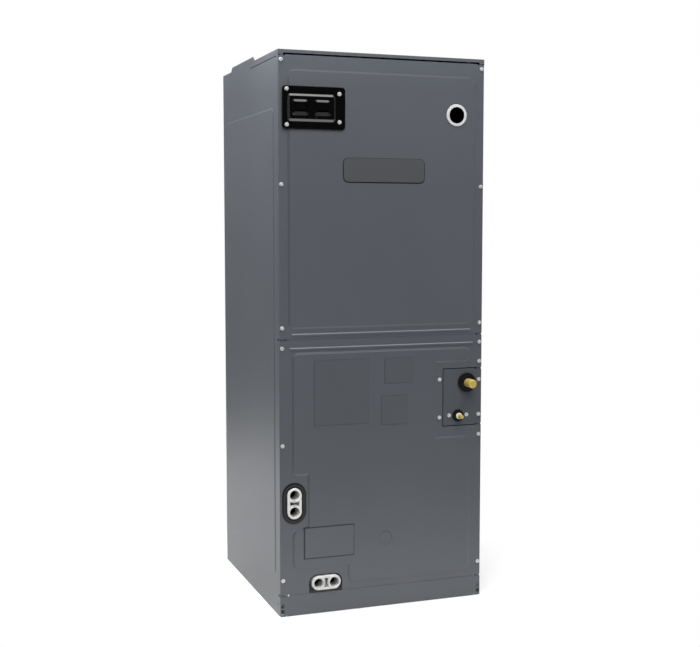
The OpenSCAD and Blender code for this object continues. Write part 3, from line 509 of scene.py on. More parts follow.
def fill_grain(graph, given):
    """Broad clouds and fine specks at given sizes, for paint, plastic and rubber."""
    return [
        graph.noise(given["Vector"], graph.calc("DIVIDE", 1.0, given[size]), detail, roughness=0.55)
        for size, detail in (("Cloud Size", 4.0), ("Grain Size", 2.0))]


def fill_spangle(graph, given):
    """Zinc crystals: a random tone for each crystal and a fine frost inside it."""
    scale = graph.calc("DIVIDE", 1.0, given["Crystal Size"])
    cells = graph.node("TexVoronoi", vector=given["Vector"], scale=scale, feature="F1")
    finer = graph.calc("MULTIPLY", scale, 6.0)
    frost = graph.noise(given["Vector"], finer, detail=5.0, roughness=0.7)
    return graph.node("SeparateColor", cells["Color"])[0], frost


def fill_lines(graph, given):
    """Fine lines along Y, as on drawn tube and turned metal, and a cloudy tarnish."""
    stretch = graph.node("CombineXYZ", 1.0, given["Stretch"], 1.0)[0]
    along = graph.node("VectorMath", given["Vector"], stretch, operation="MULTIPLY")[0]
    scale = graph.calc("DIVIDE", 1.0, given["Line Size"])
    lines = graph.noise(along, scale, detail=3.0, roughness=0.6)
    return lines, graph.noise(given["Vector"], scale=90.0, detail=4.0, roughness=0.6)


# Shader groups: what fills each, its inputs with their defaults, and its outputs
GROUPS = {
    "Surface grain": (fill_grain, {"Cloud Size": 0.3, "Grain Size": 0.002}, ("Cloud", "Grain")),
    "Zinc spangle": (fill_spangle, {"Crystal Size": 0.012}, ("Tone", "Frost")),
    "Drawn lines": (fill_lines, {"Line Size": 0.0006, "Stretch": 0.04}, ("Lines", "Tarnish")),
}


def shader_group(name):
    """One of the shader groups, built when it is first asked for."""
    if name in bpy.data.node_groups:
        return bpy.data.node_groups[name]
    fill, inputs, outputs = GROUPS[name]
    tree = bpy.data.node_groups.new(name, "ShaderNodeTree")
    tree.interface.new_socket("Vector", in_out="INPUT", socket_type="NodeSocketVector")
    for socket, default in inputs.items():
        made = tree.interface.new_socket(socket, in_out="INPUT", socket_type="NodeSocketFloat")
        made.default_value = default
    for socket in outputs:
        tree.interface.new_socket(socket, in_out="OUTPUT", socket_type="NodeSocketFloat")
    graph = Graph(tree)
    results = fill(graph, tree.nodes.new("NodeGroupInput").outputs)
    for socket, value in zip(tree.nodes.new("NodeGroupOutput").inputs, results):
        graph.put(socket, value)
    return tree


class Finish(Graph):
    """A material under construction: one Principled shader on Object coordinates."""

    def __init__(self, name, constants=()):
        self.material = bpy.data.materials.new(name)
        self.material.use_nodes = True
        super().__init__(self.material.node_tree)
        self.shader = self.tree.nodes["Principled BSDF"]
        for socket, value in dict(constants).items():
            self.shader.inputs[socket].default_value = value
        self.coordinates = self.node("TexCoord")
        self.place = self.coordinates["Object"]

    def group(self, name, **values):
        """Places a shader group on the object's coordinates."""
        return self.node("Group", node_tree=shader_group(name), vector=self.place, **values)

    def grain(self, size, cloud=PLASTIC_CLOUD):
        """Clouds and specks of given sizes."""
        return self.group("Surface grain", cloud_size=cloud, grain_size=size)

    def blend(self, mask, first, second, clamp=True):
        """A colour that runs from first to second with a mask; each is a colour or a socket."""
        made = self.tree.nodes.new("ShaderNodeMix")
        made.data_type = "RGBA"
        made.clamp_factor = clamp
        self.put(made.inputs[0], mask)
        for socket, value in zip(made.inputs[6:8], (first, second)):
            self.put(socket, value if isinstance(value, bpy.types.NodeSocket) else (*value, 1.0))
        return made.outputs[2]

    def axis(self, name):
        """One of the object's coordinates."""
        return self.node("SeparateXYZ", self.place)[name]

    def off(self, source, value):
        """How far a number is from a value."""
        return self.calc("ABSOLUTE", self.calc("SUBTRACT", source, value))

    def distance(self, middle, reach=0.0):
        """Distance from an upright line of a half length through a point, seen from the front."""
        across = self.off(self.axis("X"), middle.x)
        beyond = self.calc("SUBTRACT", self.off(self.axis("Z"), middle.z), reach)
        beyond = self.calc("MAXIMUM", beyond, 0.0)
        square = self.calc("MULTIPLY", across, across)
        return self.calc("SQRT", self.calc("MULTIPLY_ADD", beyond, beyond, square))

    def facing(self, direction):
        """How far the surface faces a direction, nothing where it faces away."""
        toward = self.node("VectorMath", self.coordinates["Normal"], direction, operation="DOT_PRODUCT")
        return self.calc("MAXIMUM", toward["Value"], 0.0)

    def feed(self, **sources):
        """Links values or colours into the shader."""
        for name, source in sources.items():
            self.put(self.shader.inputs[name.replace("_", " ").title()], source)

    def bump(self, height, depth, strength=1.0):
        """Gives the surface a relief of a given depth."""
        self.feed(normal=self.node("Bump", strength=strength, distance=depth, height=height)[0])

    def surface(self, mix, height, roughness, vary, depth, strength=1.0):
        """The material, with a colour, a roughness that varies with a height, and its relief."""
        self.feed(base_color=mix, roughness=self.spread(height, roughness - vary, roughness + vary))
        self.bump(height, depth, strength)
        return self.material


def shade(base, amount):
    """A colour scaled darker or lighter."""
    return tuple(min(1.0, channel * amount) for channel in base)


def paint_finish(name, base, roughness, peel, bead_highlights=(), corner=None):
    """Semi-gloss paint with orange peel and random clouds; painted highlights along the beads and at the
    top, painted light and shade on pressed slopes.
    """
    finish = Finish(name, {"Specular IOR Level": 0.7})
    grain = finish.grain(peel, cloud=0.35)
    tone = finish.spread(grain["Cloud"], 0.0, CLOUD_TONE)
    # Painted highlight along the upper flank of each bead, where the paint stands proud of the front
    for height in bead_highlights:
        near = finish.spread(finish.off(finish.axis("Z"), height), 1.0, 0.0, *BEAD_HIGHLIGHT_REACH)
        proud = finish.spread(finish.axis("Y"), BEAD_HIGHLIGHT_TONE, 0.0, FRONT_Y - BEAD_HIGHLIGHT_RISE, FRONT_Y)
        tone = finish.calc("MULTIPLY_ADD", near, proud, tone)
    if corner:
        inward, behind = (
            finish.spread(finish.axis(axis), 0.0, 1.0, *(start + band for band in CORNER_BAND))
            for axis, start in (("X", corner.x), ("Y", corner.y)))
        pressed = finish.calc("MAXIMUM", inward, behind)
        # Painted highlight, lighter towards the top
        top_highlight = finish.spread(finish.axis("Z"), 0.0, TOP_HIGHLIGHT_TONE, corner.z - TOP_HIGHLIGHT_DROP, corner.z)
        tone = finish.calc("ADD", tone, top_highlight)
        # Painted shade on upward slopes near the top, painted light on those lower down
        ledge_light_and_shade = finish.spread(finish.axis("Z"), *LEDGE_LIGHT_AND_SHADE, *(corner.z - drop for drop in LEDGE_DROPS))
        upward = finish.spread(finish.facing(UP_SLANT), 0.0, 1.0, *SLOPE_FACING)
        tone = finish.calc("MULTIPLY_ADD", upward, ledge_light_and_shade, tone)
        # Painted shade on slopes that face left, painted highlight on those that face right
        for slant, change in ((LEFT_SLANT, LEFT_SLOPE_SHADE), (RIGHT_SLANT, RIGHT_SLOPE_HIGHLIGHT)):
            slope = finish.spread(finish.facing(slant), 0.0, change, *SLOPE_FACING)
            tone = finish.calc("MULTIPLY_ADD", slope, pressed, tone)
    darker, lighter = (shade(base, amount) for amount in PAINT_SHADES)
    mix = finish.blend(tone, darker, lighter, clamp=False)
    return finish.surface(mix, grain["Grain"], roughness, vary=0.03, depth=0.012 * MM)


def moulded_finish(name, base, roughness, size=0.8 * MM, relief=0.02 * MM, vary=0.06, constants=()):
    """Moulded plastic or rubber with a fine grain."""
    finish = Finish(name, constants)
    grain = finish.grain(size)
    cloud = finish.spread(grain["Cloud"], 0.0, 1.0)
    mix = finish.blend(cloud, shade(base, 1 - vary), shade(base, 1 + vary))
    return finish.surface(mix, grain["Grain"], roughness, vary=0.06, depth=relief)


def cover_finish(base, edge, roughness, constants):
    """Glossy black plastic, greyer on the steep slopes that face left or right as a painted sheen."""
    finish = Finish("cover_black", constants)
    grain = finish.grain(0.5 * MM)
    aside = finish.calc("MAXIMUM", finish.facing(LEFT_SLANT), finish.facing(RIGHT_SLANT))
    steep = finish.spread(aside, 0.0, 1.0, *STEEP_FACING)
    # Painted sheen on the steep slopes that face left or right
    mix = finish.blend(steep, base, edge)
    return finish.surface(mix, grain["Grain"], roughness, vary=0.06, depth=0.004 * MM)


def socket_finish(name, base, shaded, start, end, middle):
    """Moulded plastic with painted shade that deepens with depth, sooner in its waist, later on the lit
    wall.
    """
    finish = Finish(name)
    grain = finish.grain(0.7 * MM)
    waist = finish.spread(finish.distance(middle), WAIST_DEPTH, 0.0, *WAIST_REACH)
    lit = finish.calc("MULTIPLY", finish.facing(LIT_SLANT), -LIT_DEPTH)
    depth = finish.calc("ADD", finish.axis("Y"), finish.calc("ADD", waist, lit))
    mix = finish.blend(finish.spread(depth, 0.0, 1.0, start, end), base, shaded)
    return finish.surface(mix, grain["Grain"], roughness=0.36, vary=0.05, depth=0.012 * MM)


def gasket_finish(base, lit_middle, low, high):
    """Rubber with a painted highlight: paler along the middle of an oblong ring."""
    finish = Finish("gasket_rubber", {"Specular IOR Level": 0.35, "Roughness": 0.5})
    half = (high - low) / 2
    reach = finish.distance((low + high) / 2, half.z - half.x)
    pale = finish.spread(finish.off(reach, half.x - GASKET_BAND), 1.0, 0.0, *GASKET_PALE)
    grain = finish.grain(1.0 * MM)
    finish.feed(base_color=finish.blend(pale, base, lit_middle))
    finish.bump(grain["Grain"], depth=0.03 * MM)
    return finish.material


def galvanised_finish():
    """Spangled zinc on bare sheet."""
    finish = Finish("galvanised_sheet", {"Metallic": 1.0})
    zinc = finish.group("Zinc spangle", crystal_size=0.011)
    mix = finish.blend(zinc["Tone"], *ZINC_TONES)
    return finish.surface(mix, zinc["Frost"], roughness=0.41, vary=0.11, depth=0.02 * MM, strength=0.6)


def drawn_finish(name, base, roughness, line_size, stretch, dull, metallic):
    """Drawn or turned metal with fine lines and a little tarnish."""
    finish = Finish(name, {"Metallic": metallic})
    lines = finish.group("Drawn lines", line_size=line_size, stretch=stretch)
    mix = finish.blend(finish.spread(lines["Tarnish"], 0.0, 1.0), shade(base, dull), base)
    return finish.surface(mix, lines["Lines"], roughness, vary=0.07, depth=0.01 * MM, strength=0.5)


def foil_finish(facing):
    """Foil facing with a diamond scrim and soft creases, and dark fibre beyond its face."""
    finish = Finish("foil_lining")
    grain = finish.grain(12 * MM, cloud=0.06)
    ribs = []
    for turn in (SCRIM_TURN, -SCRIM_TURN):
        slanted = finish.node("Mapping", vector=finish.place, rotation=(turn, turn, turn))[0]
        wave = finish.node(
            "TexWave", vector=slanted, scale=22.0, wave_profile="SAW", bands_direction="Z")
        ribs.append(finish.spread(wave["Fac"], 0.0, 1.0, 0.92, 1.0))
    rib = finish.calc("MAXIMUM", *ribs)
    deep = finish.calc("MAXIMUM", finish.calc("ABSOLUTE", finish.axis("X")), finish.axis("Y"))
    faced = finish.spread(deep, 1.0, 0.0, facing, facing + 2 * MM)
    finish.feed(
        base_color=finish.blend(faced, FIBRE, finish.blend(rib, *FOIL_TONES)), metallic=faced,
        roughness=finish.spread(grain["Cloud"], 0.28, 0.46))
    finish.bump(finish.calc("MULTIPLY_ADD", grain["Grain"], 1.5, rib), depth=0.25 * MM)
    return finish.material


def fin_finish():
    """Plate fins edge on, with painted shade in the darker gaps between them."""
    finish = Finish("coil_fins", {"Metallic": 0.9})
    fins = finish.node("TexWave", vector=finish.place, scale=FIN_SCALE, bands_direction="Y")["Fac"]
    grain = finish.grain(4 * MM, cloud=0.03)
    finish.feed(
        base_color=finish.blend(fins, *FIN_TONES), roughness=finish.spread(grain["Cloud"], 0.32, 0.5))
    finish.bump(fins, depth=0.6 * MM)
    return finish.material


def dress(nodes, material):
    """Gives frame nodes a finish."""
    for name in nodes:
        mesh = frame["nodes"][name].data
        mesh.materials.clear()
        mesh.materials.append(material)


# Pieces

# Room beside the level drain fitting: the arch's left and right side, the fitting's scale and shift
ARCH_ROOM = (1.2 * MM, 1.6 * MM)
FITTING_SCALE = 0.98
FITTING_SHIFT = 1.2 * MM

# Where the painted shade in the drain sockets begins and ends behind the front, and the line set plate's
# paint
SOCKET_DEPTHS = (2 * MM, 24 * MM)
PLATE_SHADE = 0.86

# The least angle of a fold, and how near a vertex lies to a plane that it is on
FOLD_ANGLE = math.radians(65)
NEAR = 0.01 * MM

# Screws in millimetres: offset from a line or side, and heights above a panel's foot or the cover's middle
UPPER_SCREWS = (0.0, (28.2, 368.6, 658.6))
LOWER_LEFT_SCREWS = (0.0, (37.1, 367.1, 602.1))
LOWER_RIGHT_SCREWS = (0.0, (36.6, 366.6, 553.1, 602.1))
PLATE_LEFT_SCREWS = (-10.5, (21.8, 117.5))
PLATE_RIGHT_SCREWS = (-8.1, (25.2, 114.0))
COVER_LEFT_SCREWS = (10.9, (-40.5, 42.9))
COVER_RIGHT_SCREWS = (-15.0, (-31.5, 34.5))
LIQUID_SCREWS = ((-24.0, (1.4,)), (24.0, (1.4,)))
SCREW_TURN = 0.37

# Rivet at the door's joint: distance from the door's left end and height above its top
RIVET_PLACE = (20.4 * MM, 0.4 * MM)

# Tube lines: bore radius, wall of the grommet's barrel and height of its flange, in millimetres
TUBE_LINES = {"suction": (11.11, 6.0, 6.0), "liquid": (4.76, 5.0, 3.5)}

# Front of the drain gasket from its rim to its hole: inset and step forward, in millimetres
GASKET_STEPS = (
    (0.5, 0.3), (1.0, 0.5), (1.8, 0.3), (1.8, 0.0), (1.2, -0.4), (0.5, -1.2), (0.9, 0.0),
    (0.5, 0.9), (1.2, 0.4), (1.1, 0.0), (1.2, -0.8),
)

# Bare label plates: border width and left, right, lower and upper side, in millimetres
LABELS = {
    "rating_plate": (2.4, (-207.5, -77.2, 137.2, 215.7)),
    "wide_plate": (1.0, (-180.6, -39.2, 463.0, 623.0)),
    "high_plate": (1.0, (1.2, 76.2, 558.5, 622.0)),
    "low_plate": (1.0, (-6.8, 62.0, 456.3, 528.5)),
}
LABEL_SHIFT = 0.45
FAINT_SHADE = 0.93
FAINT_BORDER_SHADE = 0.58


def face_width(face):
    """Width of a long thin face, or about half the size of a square one."""
    return 2 * face.calc_area() / face.calc_perimeter()


def fold_edges(mesh, look):
    """Outer edges of the long folds."""
    def folded(edge):
        sharp = edge.is_convex and edge.calc_face_angle() > FOLD_ANGLE
        return sharp and all(face_width(face) > look.thickness for face in edge.link_faces)

    return {edge for edge in mesh.edges if edge.calc_length() > look.fold_length and folded(edge)}


def round_edges(piece, rule, width, segments):
    """Rounds the edges that a rule picks out."""
    with editing(piece, "EDGE"):
        mesh = bmesh.from_edit_mesh(piece.data)
        layer = mesh.edges.layers.float.get("bevel_weight_edge")
        layer = layer or mesh.edges.layers.float.new("bevel_weight_edge")
        chosen = rule(mesh)
        for edge in mesh.edges:
            edge[layer] = float(edge in chosen)
        bmesh.update_edit_mesh(piece.data)
    finish_modifier(piece, "BEVEL", limit_method="WEIGHT", width=width, segments=segments)


def widen_arch(piece, left, right):
    """Gives the level drain fitting more room in the lower panel's arch."""
    low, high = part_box("lower_drain_fitting")
    reach = 4 * MM
    middle = (low.x + high.x) / 2
    with editing(piece, "VERT"):
        for start, end, step in ((low.x - reach, middle, -left), (middle, high.x + reach, right)):
            pick(piece, "verts", lambda vert: start < vert.co.x < end and vert.co.z < high.z + reach)
            move(x=step)


class AIRHANDLER_OT_sheet(bpy.types.Operator):
    """Rounds the folds of the painted sheet pieces and paints them"""

    bl_idname = "air_handler.sheet"
    bl_label = "Painted sheet pieces"

    def execute(self, context):
        look = context.scene.air_handler_sheet
        beads = (UPPER_FOOT + look.bead_up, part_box("lower_access_panel")[1].z - look.bead_down)
        corner = Vector((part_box("upper_access_panel")[0].x, FRONT_Y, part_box("top_front_cap")[1].z))
        paint = paint_finish("cabinet_paint", look.paint, look.paint_roughness, look.peel, beads, corner)
        darker = shade(look.paint, PLATE_SHADE)
        plate = paint_finish("plate_paint", darker, look.paint_roughness, look.peel)
        for node in SHEET_NODES:
            piece = merged_copy(node)
            if node == "lower_access_panel":
                widen_arch(piece, *ARCH_ROOM)
            bend = look.door_bend if node == "filter_access_door" else look.bend
            round_edges(piece, lambda mesh: fold_edges(mesh, look), bend, segments=8)
            finish = plate if node == "line_set_plate" else paint
            settle(piece, node + "_painted", finish, (node,), angle=15)
        return {"FINISHED"}


class AIRHANDLER_OT_inside(bpy.types.Operator):
    """Finishes the pieces that show through the supply and return openings"""

    bl_idname = "air_handler.inside"
    bl_label = "Inside pieces"

    def execute(self, context):
        dress(GALVANISED_NODES, galvanised_finish())
        dress(PAN_NODES, moulded_finish(
            "pan_plastic", (0.012, 0.012, 0.013), roughness=0.45, size=1.2 * MM, relief=0.04 * MM))
        dress(LINER_NODES, foil_finish(-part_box("liner_left")[1].x))
        dress(COIL_NODES, fin_finish())
        dress(DARK_NODES, paint_finish(
            "dark_paint", (0.03, 0.031, 0.034), roughness=0.42, peel=1.2 * MM))
        return {"FINISHED"}


def screw_pattern(sizes):
    """One hex washer-head screw at the origin, facing -Y, its washer face on the plane y = 0."""
    edge = 0.5 * MM
    washer = disc(36, sizes.flange)
    with editing(washer):
        pick_all()
        extrude((0, -sizes.flange_t, 0))
        step_in(edge, edge / 2)
        face_outward()
    chamfer = 0.6 * MM
    head = disc(6, sizes.hex)
    with editing(head):
        pick_all()
        extrude((0, -sizes.flange_t - sizes.head, 0))
        step_in(chamfer, chamfer / 2)
        bpy.ops.mesh.inset(thickness=sizes.hex * 0.8 - sizes.dimple - chamfer)
        step_in(edge, -sizes.dimple_d)
        pick(head, "edges", lambda line: abs(line.verts[0].co.y - line.verts[1].co.y) > MM)
        bpy.ops.mesh.bevel(offset=edge, segments=2, affect="EDGES")
        face_outward()
    return joined([washer, head])


def column(x, foot, screws, y=FRONT_Y):
    """Places on the front, one above the other, beside a line and above a foot."""
    offset, heights = screws
    return [(x + offset * MM, y, foot + height * MM) for height in heights]


def screw_places(sizes):
    """Places of the screws, by the name of each set."""
    side = HALF_W - sizes.inset
    plate_low, plate_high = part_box("line_set_plate")
    liquid = round_sizes("liquid_grommet", FRONT_Y)[0]
    cover_low, cover_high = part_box("breaker_cover")
    cover_foot = (cover_low.z + cover_high.z) / 2
    cover_y = FIELD_Y - 3 * MM
    return {
        "upper_panel_screws": [
            *column(-side, UPPER_FOOT, UPPER_SCREWS), *column(side, UPPER_FOOT, UPPER_SCREWS)],
        "lower_panel_screws": [
            *column(-side, LOWER_FOOT, LOWER_LEFT_SCREWS), *column(side, LOWER_FOOT, LOWER_RIGHT_SCREWS)],
        "line_set_plate_screws": [
            *column(plate_low.x, plate_low.z, PLATE_LEFT_SCREWS),
            *column(plate_high.x, plate_low.z, PLATE_RIGHT_SCREWS),
            *(place for screws in LIQUID_SCREWS for place in column(liquid.x, liquid.z, screws))],
        "breaker_cover_screws": [
            *column(cover_low.x, cover_foot, COVER_LEFT_SCREWS, cover_y),
            *column(cover_high.x, cover_foot, COVER_RIGHT_SCREWS, cover_y)],
    }


class AIRHANDLER_OT_screws(bpy.types.Operator):
    """Sets the screws of the access panels, the line set plate and the breaker cover"""

    bl_idname = "air_handler.screws"
    bl_label = "Screws"

    def execute(self, context):
        sizes = context.scene.air_handler_screws
        zinc = drawn_finish(
            "bright_zinc", sizes.zinc, roughness=0.36, line_size=0.5 * MM, stretch=1.0, dull=0.9,
            metallic=0.45)
        low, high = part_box("filter_access_door")
        radius, height = 2.4 * MM, 1.6 * MM
        profile = rounded([(0.0, height), (radius, height), (radius, 0.0), (0.0, 0.0)], {1: 1.2 * MM})
        along, above = RIVET_PLACE
        rivet = turned(profile, (low.x + along, FRONT_Y, high.z + above), steps=36)
        settle(rivet, "door_joint_rivet", zinc)
        pattern = screw_pattern(sizes)
        for name, places in screw_places(sizes).items():
            settle(copies(pattern, places, SCREW_TURN), name, zinc, angle=30)
        activate(pattern)
        bpy.ops.object.delete()
        return {"FINISHED"}


class AIRHANDLER_OT_upper_fittings(bpy.types.Operator):
    """Finishes the breaker cover, the cable bushing and the bare badge plate"""

    bl_idname = "air_handler.upper_fittings"
    bl_label = "Upper panel fittings"

    def execute(self, context):
        look = context.scene.air_handler_fittings
        black = cover_finish(look.black, look.cover_side_sheen, roughness=0.14, constants={
            "Specular IOR Level": 0.8, "Coat Weight": 0.75, "Coat Roughness": 0.05, "Coat IOR": 1.65})
        cover = merged_copy("breaker_cover")
        low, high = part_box("breaker_cover")
        middle = (low.z + high.z) / 2
        with editing(cover, "VERT"):
            pick(cover, "verts", lambda vert: vert.co.y < low.y + NEAR and vert.co.z < middle)
            move(z=look.tile_slope)
        soften(cover, angle=15, width=look.edge)
        settle(cover, "breaker_cover_moulded", black, ("breaker_cover",))

        centre, rim, height, depth = round_sizes("cable_bushing", FIELD_Y)
        bore = rim - 7.0 * MM
        barrel = bore + 2.7 * MM
        bushing = turned(rounded(
            [(bore, -depth), (barrel, -depth), (barrel, 0.0), (rim, 0.0), (rim, height), (bore, height),
             (bore, -depth)],
            {4: 1.8 * MM, 5: 0.5 * MM}), centre)
        silver = moulded_finish("bushing_plastic", look.bushing, roughness=0.34)
        settle(bushing, "cable_bushing_turned", silver, ("cable_bushing",))
        # A black sleeve inside the bore: painted shade that darkens the hole
        inner = bore - 0.7 * MM
        back = -depth - 6 * MM
        front = height - 0.6 * MM
        sleeve = turned(
            [(inner, back), (bore, back), (bore, front), (inner, front), (inner, back)], centre)
        bore_shade = moulded_finish(
            "sleeve_black", look.black, roughness=0.7, size=1.0 * MM, relief=0.03 * MM, vary=0.15,
            constants={"Specular IOR Level": 0.1})
        settle(sleeve, "cable_bushing_sleeve", bore_shade)

        badge = merged_copy("badge_plate")
        soften(badge, angle=40, width=0.5 * MM, clamp=True)
        finish = paint_finish("badge_finish", look.badge, roughness=0.40, peel=1.0 * MM)
        settle(badge, "badge_plate_bare", finish, ("badge_plate",))
        # A dark film a little larger than the badge, dropped below it: painted shadow round the badge,
        # deeper below
        low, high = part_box("badge_plate")
        lap = 1.8 * MM
        drop = 0.8 * MM
        badge_shadow = label_plate(
            low.x - lap, high.x + lap, low.z - lap - drop, high.z + lap - drop,
            FIELD_Y, look.label_t, radius=13 * MM)
        edge = paint_finish("border_film", look.border, roughness=0.5, peel=1.0 * MM)
        settle(badge_shadow, "badge_backing", edge, angle=30)
        return {"FINISHED"}


class AIRHANDLER_OT_line_set(bpy.types.Operator):
    """Turns the rubber grommets, the tube stubs and the collar of the line set plate"""

    bl_idname = "air_handler.line_set"
    bl_label = "Line set"

    def execute(self, context):
        look = context.scene.air_handler_fittings
        rubber = moulded_finish(
            "grommet_rubber", look.rubber, roughness=0.55, size=1.0 * MM, relief=0.03 * MM, vary=0.15,
            constants={"Specular IOR Level": 0.25})
        brass = drawn_finish(
            "tube_brass", look.brass, roughness=0.34, line_size=0.35 * MM, stretch=0.05, dull=0.85,
            metallic=0.35)
        cream = moulded_finish("collar_plastic", look.cream, roughness=0.40)
        for line, sizes in TUBE_LINES.items():
            bore, wall, flange_h = (size * MM for size in sizes)
            centre, outer, front, back = round_sizes(line + "_grommet", FRONT_Y)
            step = (bore + outer) / 2
            seat = bore + wall
            grommet = turned(rounded([
                (bore, -back), (seat, -back), (seat, 0.0), (outer, 0.0), (outer, flange_h),
                (step + 1.2 * MM, flange_h), (step, front), (bore + 0.6 * MM, front),
                (bore + 0.1 * MM, front - 2 * MM), (bore, -back),
            ], {4: 1.6 * MM, 5: 0.8 * MM, 6: 1.2 * MM, 7: 0.4 * MM}), centre)
            settle(grommet, line + "_grommet_rubber", rubber, (line + "_grommet",), angle=35)

            _, _, end, back = round_sizes(line + "_stub", FRONT_Y)
            slim = bore - 0.25 * MM
            dish = end - 0.4 * MM
            stub = turned(rounded([
                (0.0, -back), (slim, -back), (slim, front), (bore, front + 0.3 * MM), (bore, end),
                (bore * 0.45, end), (bore * 0.38, dish), (0.0, dish),
            ], {4: bore * 0.32, 5: 0.3 * MM}), centre)
            settle(stub, line + "_stub_drawn", brass, (line + "_stub",), angle=35)

        centre, outer, front, back = round_sizes("liquid_collar", FRONT_Y)
        inner = outer - 2.7 * MM
        collar = turned(rounded(
            [(inner, -back), (outer, -back), (outer, front), (inner, front), (inner, -back)],
            {2: 1.2 * MM, 3: 0.6 * MM}), centre, steps=48)
        settle(collar, "liquid_collar_moulded", cream, ("liquid_collar",), angle=35)
        return {"FINISHED"}


def outline_edges(mesh, low, high):
    """Front edges along the outline of an oblong fitting with round ends."""
    half = (high - low) / 2
    middle = (low + high) / 2
    radius = min(half.x, half.z)
    reach = Vector((half.x - radius, 0.0, half.z - radius))

    def on_outline(vert):
        arm = vert.co - middle
        arm.y = 0.0
        for i in (0, 2):
            arm[i] -= max(-reach[i], min(reach[i], arm[i]))
        return abs(arm.length - radius) < 0.05 * MM and vert.co.y < low.y + NEAR

    return {edge for edge in mesh.edges if all(on_outline(vert) for vert in edge.verts)}


def oblong_ring(low, high, steps, segments=64):
    """A pad with round ends and a hole; steps give each inset of its front and its move forward."""
    half = (high - low) / 2
    middle = (low + high) / 2
    stretch = half.z - half.x
    ring = disc(segments, half.x, math.pi / segments)
    with editing(ring):
        pick(ring, "verts", lambda vert: vert.co.z > 0)
        move(z=2 * stretch)
        pick_all()
        move(middle.x, high.y, middle.z - stretch)
        extrude((0, low.y - high.y, 0))
        for inset, forward in steps:
            step_in(inset * MM, forward * MM)
        extrude((0, high.y - low.y, 0))
        bpy.ops.mesh.delete(type="FACE")
        pick(ring, "faces", lambda face: len(face.verts) == segments)
        bpy.ops.mesh.delete(type="FACE")
        bpy.ops.mesh.select_mode(type="EDGE")
        bpy.ops.mesh.select_non_manifold()
        bpy.ops.mesh.bridge_edge_loops()
        face_outward()
    return ring


class AIRHANDLER_OT_drain(bpy.types.Operator):
    """Finishes the two white drain fittings and the gasket of the upper one"""

    bl_idname = "air_handler.drain"
    bl_label = "Drain fittings"

    def execute(self, context):
        look = context.scene.air_handler_fittings
        start, end = (FRONT_Y + depth for depth in SOCKET_DEPTHS)
        for node in ("upper_drain_fitting", "lower_drain_fitting"):
            fitting = merged_copy(node)
            low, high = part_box(node)
            middle = (low + high) / 2
            round_edges(
                fitting, lambda mesh: outline_edges(mesh, low, high), look.fitting_edge, segments=4)
            soften(fitting, angle=50, width=look.edge)
            if node == "lower_drain_fitting":
                with editing(fitting, "VERT"):
                    pick_all()
                    bpy.ops.transform.resize(
                        value=(FITTING_SCALE, 1.0, FITTING_SCALE), center_override=middle)
                    move(x=FITTING_SHIFT)
            white = socket_finish(node + "_white", look.white, look.socket, start, end, middle)
            settle(fitting, node + "_moulded", white, (node,))
        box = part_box("drain_gasket")
        rubber = gasket_finish(look.rubber, look.gasket, *box)
        gasket = oblong_ring(*box, GASKET_STEPS)
        settle(gasket, "drain_gasket_rubber", rubber, ("drain_gasket",), angle=50)
        return {"FINISHED"}


def label_plate(low_x, high_x, low_z, high_z, plane, thickness, radius=1.5 * MM):
    """A thin bare plate with rounded corners, lying on a plane of the front."""
    plate = begin(bpy.ops.mesh.primitive_plane_add, size=1.0, rotation=(math.pi / 2, 0, 0))
    with editing(plate, "VERT"):
        pick_all()
        bpy.ops.transform.resize(value=(high_x - low_x, 1.0, high_z - low_z), center_override=(0, 0, 0))
        move((low_x + high_x) / 2, plane, (low_z + high_z) / 2)
        bpy.ops.mesh.bevel(offset=radius, segments=6, affect="VERTICES")
        pick_all()
        extrude((0, -thickness, 0))
        step_in(0.3 * MM, 0.1 * MM)
        face_outward()
    return plate


class AIRHANDLER_OT_labels(bpy.types.Operator):
    """Lays the bare label plates on the lower panel"""

    bl_idname = "air_handler.labels"
    bl_label = "Bare label plates"

    def execute(self, context):
        look = context.scene.air_handler_fittings
        sheet = context.scene.air_handler_sheet
        film = paint_finish("label_film", look.label, roughness=0.40, peel=1.0 * MM)
        faint = paint_finish("faint_film", shade(sheet.paint, FAINT_SHADE), 0.36, sheet.peel)
        border = bpy.data.materials["border_film"]
        pale_border = paint_finish(
            "faint_border", shade(sheet.paint, FAINT_BORDER_SHADE), 0.4, sheet.peel)
        for name, (rim, box) in LABELS.items():
            face, edge = (film, border) if name == "rating_plate" else (faint, pale_border)
            low_x, high_x, low_z, high_z = (side * MM for side in box)
            back = label_plate(low_x, high_x, low_z, high_z, FIELD_Y, look.label_t)
            settle(back, name + "_border", edge, angle=30)
            rim *= MM
            shift = rim * LABEL_SHIFT
            front = label_plate(
                low_x + rim + shift, high_x - rim + shift, low_z + rim, high_z - rim,
                FIELD_Y - look.label_t, look.label_t)
            settle(front, name + "_bare", face, angle=30)
        return {"FINISHED"}


# Studio

MIDDLE = (CAD_BOX[0] + CAD_BOX[1]) / 2
WHITE = (1.0, 1.0, 1.0, 1.0)

# Softboxes: name, place, aim, size, power, and whether the object's sheen mirrors it
SOFTBOXES = (
    ("top_softbox", (0.5, 0.0, 4.2), (0.0, 0.0, 0.0), 2.6, 15.0, True),
    ("key_softbox", (-0.2, -1.8, 3.0), (0.0, 0.0, 1.1), 2.4, 101.0, False),
    ("fill_softbox", (3.6, -0.8, 2.6), MIDDLE, 2.4, 25.0, False),
    ("left_softbox", (-1.4, 0.2, 2.7), (0.0, 0.0, 1.2), 1.4, 84.0, False),
    ("corner_softbox", (-0.40, -0.22, 1.47), (-0.27, -0.22, 1.30), 0.12, 0.5, False),
    ("rim_softbox", (0.5, 3.2, 3.0), MIDDLE, 2.4, 20.0, False),
)

